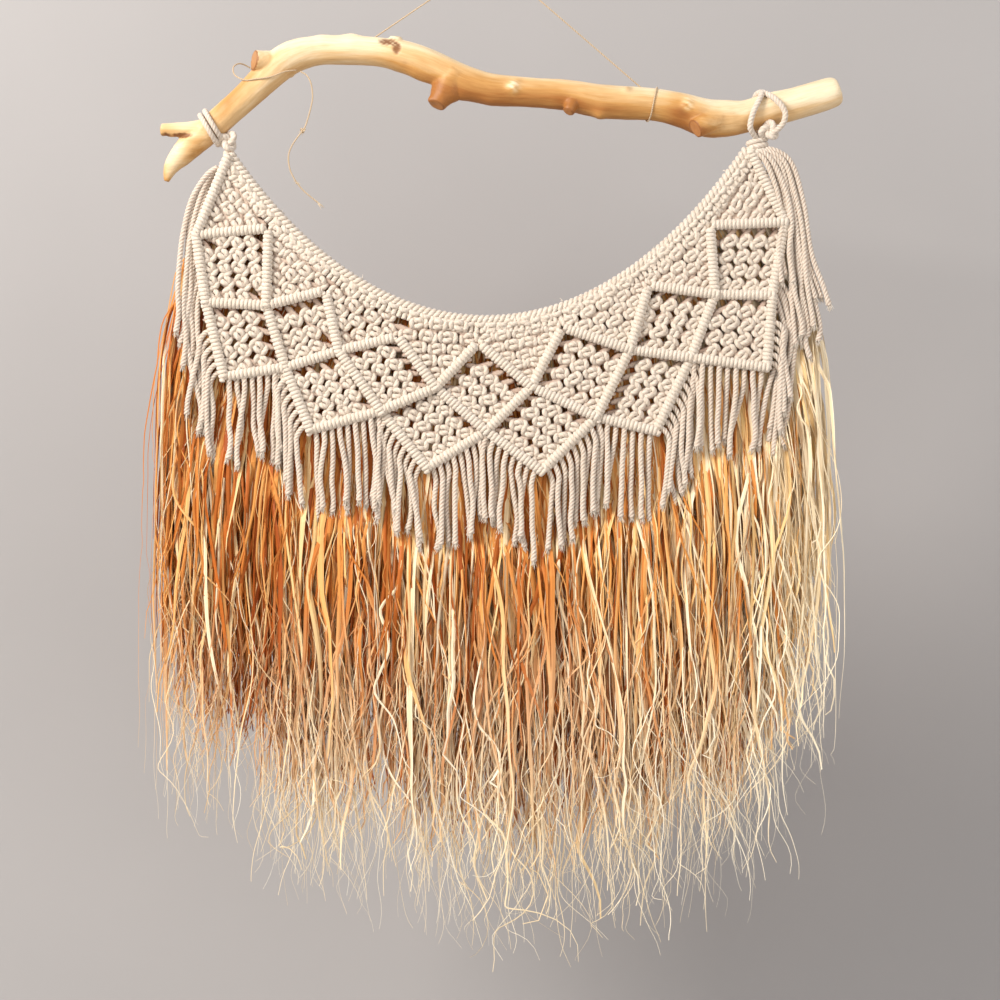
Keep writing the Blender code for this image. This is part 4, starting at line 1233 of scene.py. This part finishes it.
def wander(count, stations, bends, steps, amount, grow=0.0):
    """Sideways drift with a few bends, one row a strand, that may grow to the tip."""
    slopes = RNG.normal(0, 1, (count, bends)) * amount[:, None]
    at = np.linspace(0, bends - 1, stations)
    low = np.floor(at).astype(int).clip(0, bends - 2)
    f = at - low
    f = f * f * (3 - 2 * f)
    t = np.linspace(0, 1, stations)
    slope = slopes[:, low] * (1 - f) + slopes[:, low + 1] * f
    slope = STEEPEST * np.tanh(slope * (1 + grow * t ** 2) / STEEPEST)
    path = np.cumsum(slope * steps[:, None], 1)
    path -= path[:, :1]
    path -= 0.6 * path[:, -1:] * t
    return MOST_DRIFT * np.tanh(path / MOST_DRIFT)


def raffia_paths(kind, lo, hi):
    """Centre lines of one kind of strand, hung from the neckline between two places."""
    count, n = kind.count, kind.stations
    x0 = RNG.uniform(lo, hi, count)
    z0 = rim_height(x0) - 2.0 * MM
    final = 1.33 * (x0 - RIM_MIDDLE) + RIM_MIDDLE + RNG.normal(0, 6, count) * MM
    if kind.pull:
        nearest = CLUMPS[np.abs(final[:, None] - CLUMPS[None]).argmin(1)]
        final = final + (nearest - final) * kind.pull * RNG.uniform(0.4, 1, count)
    lowest = np.interp(final, *np.array(TIPS, float).T * MM)
    z1 = lowest + (kind.low + (kind.high - kind.low) * RNG.beta(1.15, 1.3, count)) * MM
    t = np.linspace(0, 1, n)[None]
    depth = (z0 - z1)[:, None] * t
    settle = 1 - np.exp(-depth / (0.07 + 0.03 * RNG.uniform(0, 1, count))[:, None])
    x = x0[:, None] + (final - x0)[:, None] * settle
    loose = np.minimum(1, depth / 0.06)
    steps = (z0 - z1) / n
    x += loose * wander(count, n, 6, steps, 0.22 * kind.lively * RNG.gamma(2.0, 0.6, count))
    x += loose * wander(count, n, kind.bends, steps, kind.fine * RNG.gamma(1.6, 0.7, count), kind.grow)
    curl = np.clip((t - kind.curl_from) / (1 - kind.curl_from), 0, 1) ** 1.3
    x += curl * RNG.normal(0, 1, (count, 1)) * kind.swing * MM
    turns = RNG.uniform(3, 9, (count, 1))
    ring = RNG.gamma(1.4, 2.6, (count, 1)) * MM * curl * kind.lively
    angle = turns * curl * 2 + RNG.uniform(0, 6.28, (count, 1))
    x += ring * np.sin(angle)
    z = z0[:, None] - depth + ring * np.cos(angle)
    y = (kind.back + RNG.normal(0, 1.5, (count, 1)) - np.minimum(1, depth / 0.24) * kind.forward) * MM
    y += loose * wander(count, n, 12, steps, 0.10 * (0.5 + kind.lively) * RNG.gamma(1.5, 0.7, count))
    y += curl * RNG.normal(0, 5, (count, 1)) * MM
    stray = RNG.uniform(-9, 12, (count, 1)) * MM
    left_edge = np.interp(-z, EDGE_DEPTHS, LEFT_EDGE) + stray
    right_edge = np.interp(-z, EDGE_DEPTHS, RIGHT_EDGE) - stray
    x = np.where(x < left_edge, left_edge + (x - left_edge) * 0.14, x)
    x = np.where(x > right_edge, right_edge + (x - right_edge) * 0.14, x)
    fringe_end = np.interp(x, *np.array(FRINGE_ENDS, float).T * MM)
    out = np.clip((fringe_end + 0.012 - z) / 0.03, 0, 1)
    y = np.clip(y, (-0.6 - 9.0 * out) * MM, 15.0 * MM)
    slope = np.sinh((x0 - RIM_MIDDLE) / RIM_SIZE)
    x = x - slope[:, None] * 2.0 * MM * np.minimum(1, depth / 0.02)
    return np.stack([x, y, z], -1)


def add_strands(piece, paths, widths, tones, bleach):
    """Thin folded strips, closed all round, tapering to the tip.

    bleach is how far the strips turn from orange to straw towards their tips.
    """
    m, n, _ = paths.shape
    tangent, normal, side = frames_along(paths)
    s = lengths_along(paths)
    t = s / s[:, -1:]
    turn = (RNG.normal(0, 0.5, (m, 1)) + np.pi / 2
            + RNG.normal(0, 1.5, (m, 1)) * t + 0.35 * np.sin(t * 9 + RNG.uniform(0, 6, (m, 1))))
    across = (np.cos(turn)[..., None] * normal + np.sin(turn)[..., None] * side)
    out = np.cross(tangent, across)
    swell = 1 + 0.25 * np.sin(t * RNG.uniform(3, 14, (m, 1)) + RNG.uniform(0, 6, (m, 1)))
    taper = np.clip(1.05 - t ** 3 * 0.85, 0.1, 1) * np.minimum(1, 0.5 + 8 * t)
    half = widths[:, None] * swell * taper / 2
    fold = half * 0.22
    thin = np.maximum(half * 0.05, 0.09 * MM)
    across = across * half[..., None]
    corners = np.stack([paths - across, paths + out * (fold + thin)[..., None],
                        paths + across, paths + out * (fold - thin)[..., None] * 0.6], 2)
    shape = (m, n, 4)
    tone = np.broadcast_to(tones[:, None, None], shape)
    depth = np.clip((-0.26 - paths[..., 2]) / 0.46, 0, 1)
    reach = np.broadcast_to(bleach * depth[..., None], shape)
    piece.strips(corners, s, np.stack([np.zeros(shape), tone, reach], -1))


def make_raffia(material):
    seam = 75 * MM
    sections = {
        "raffia_left": (RIM_START[0] + 7 * MM, -seam, -0.10),
        "raffia_centre": (-seam, seam, 0.0),
        "raffia_right": (seam, RIM_END[0] - 7 * MM, 0.12),
    }
    for name, (lo, hi, pale) in sections.items():
        piece = Piece(name + "_strands", rounded=False)
        for kind in STRANDS:
            paths = raffia_paths(kind, lo, hi)
            widths = np.clip(kind.width * RNG.lognormal(0, kind.uneven, kind.count), 0.5, 4.8) * MM
            # painted sunlight: strands that end towards the right are given paler tones
            painted_sunlight = 0.62 * np.clip((paths[:, -1, 0] - 0.185) / 0.06, 0, 1)
            tones = np.clip(RNG.beta(1.5, 2.2, kind.count) + pale + kind.lift + painted_sunlight, 0, 1)
            add_strands(piece, paths, widths, tones, kind.bleach)
        made = piece.build(material, "raffia", None, name)
        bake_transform(made)


# ---------------------------------------------------------------- stage

def make_stage():
    wall_y, floor_z = 0.33, -1.05
    wall = [(-2.5, wall_y, floor_z), (2.5, wall_y, floor_z), (2.5, wall_y, 1.9), (-2.5, wall_y, 1.9)]
    floor = [(-4, -4.5, floor_z), (4, -4.5, floor_z), (4, 4.5, floor_z), (-4, 4.5, floor_z)]
    for name, corners, shade in (("wall", wall, colour(172, 168, 166)),
                                 ("floor", floor, colour(196, 193, 189))):
        mesh = bpy.data.meshes.new("plain_" + name)
        mesh.from_pydata(corners, [], [(0, 1, 2, 3)])
        mesh.materials.append(plain_backdrop(name + "_paint", shade, name == "wall"))
        placed(mesh.name, mesh)


def add_light(name, place, target, size, power, tint):
    """A soft panel light that faces a target."""
    data = bpy.data.lights.new(name, "AREA")
    data.shape = "RECTANGLE"
    data.size, data.size_y = size
    data.energy = power
    data.color = tint
    light = placed(name, data)
    light.location = place
    way = np.array(target) - np.array(place)
    light.rotation_euler = (math.pi / 2 + math.atan2(way[2], math.hypot(way[0], way[1])), 0,
                            math.atan2(way[1], way[0]) - math.pi / 2)


def make_lights_and_camera():
    centre = (0.007, 0.0, -0.406)
    add_light("window_key", (-1.5, -1.35, 0.75), centre, (0.8, 0.9), 66, (1.0, 0.965, 0.92))
    add_light("room_fill", (1.6, -1.7, -0.1), centre, (1.8, 1.8), 17, (1.0, 0.97, 0.94))
    add_light("back_glow", (0.4, 1.9, 0.4), centre, (1.6, 1.6), 8, (1.0, 0.98, 0.95))
    scene = bpy.context.scene
    scene.world = bpy.data.worlds.new("soft_room")
    scene.world.use_nodes = True
    background = scene.world.node_tree.nodes["Background"]
    background.inputs["Color"].default_value = (0.93, 0.95, 1.0, 1)
    background.inputs["Strength"].default_value = 0.62
    scene.view_settings.view_transform = "Standard"
    data = bpy.data.cameras.new("front_camera")
    data.sensor_width = 36
    data.lens = 96
    camera = placed("front_camera", data)
    camera.location = (centre[0], -2.0, centre[2])
    camera.rotation_euler = (math.pi / 2, 0, 0)
    scene.camera = camera


make_lights_and_camera()
FIBRES = make_fibre_group()
COTTON = spun_cotton(FIBRES)
make_twine(jute(FIBRES))
make_branch(peeled_wood())
make_loops(COTTON)
make_rim(COTTON)
make_panels(COTTON)
make_ribs(COTTON)
make_fringe(COTTON)
make_tassels(COTTON)
make_raffia(raffia_leaf(FIBRES))
make_stage()
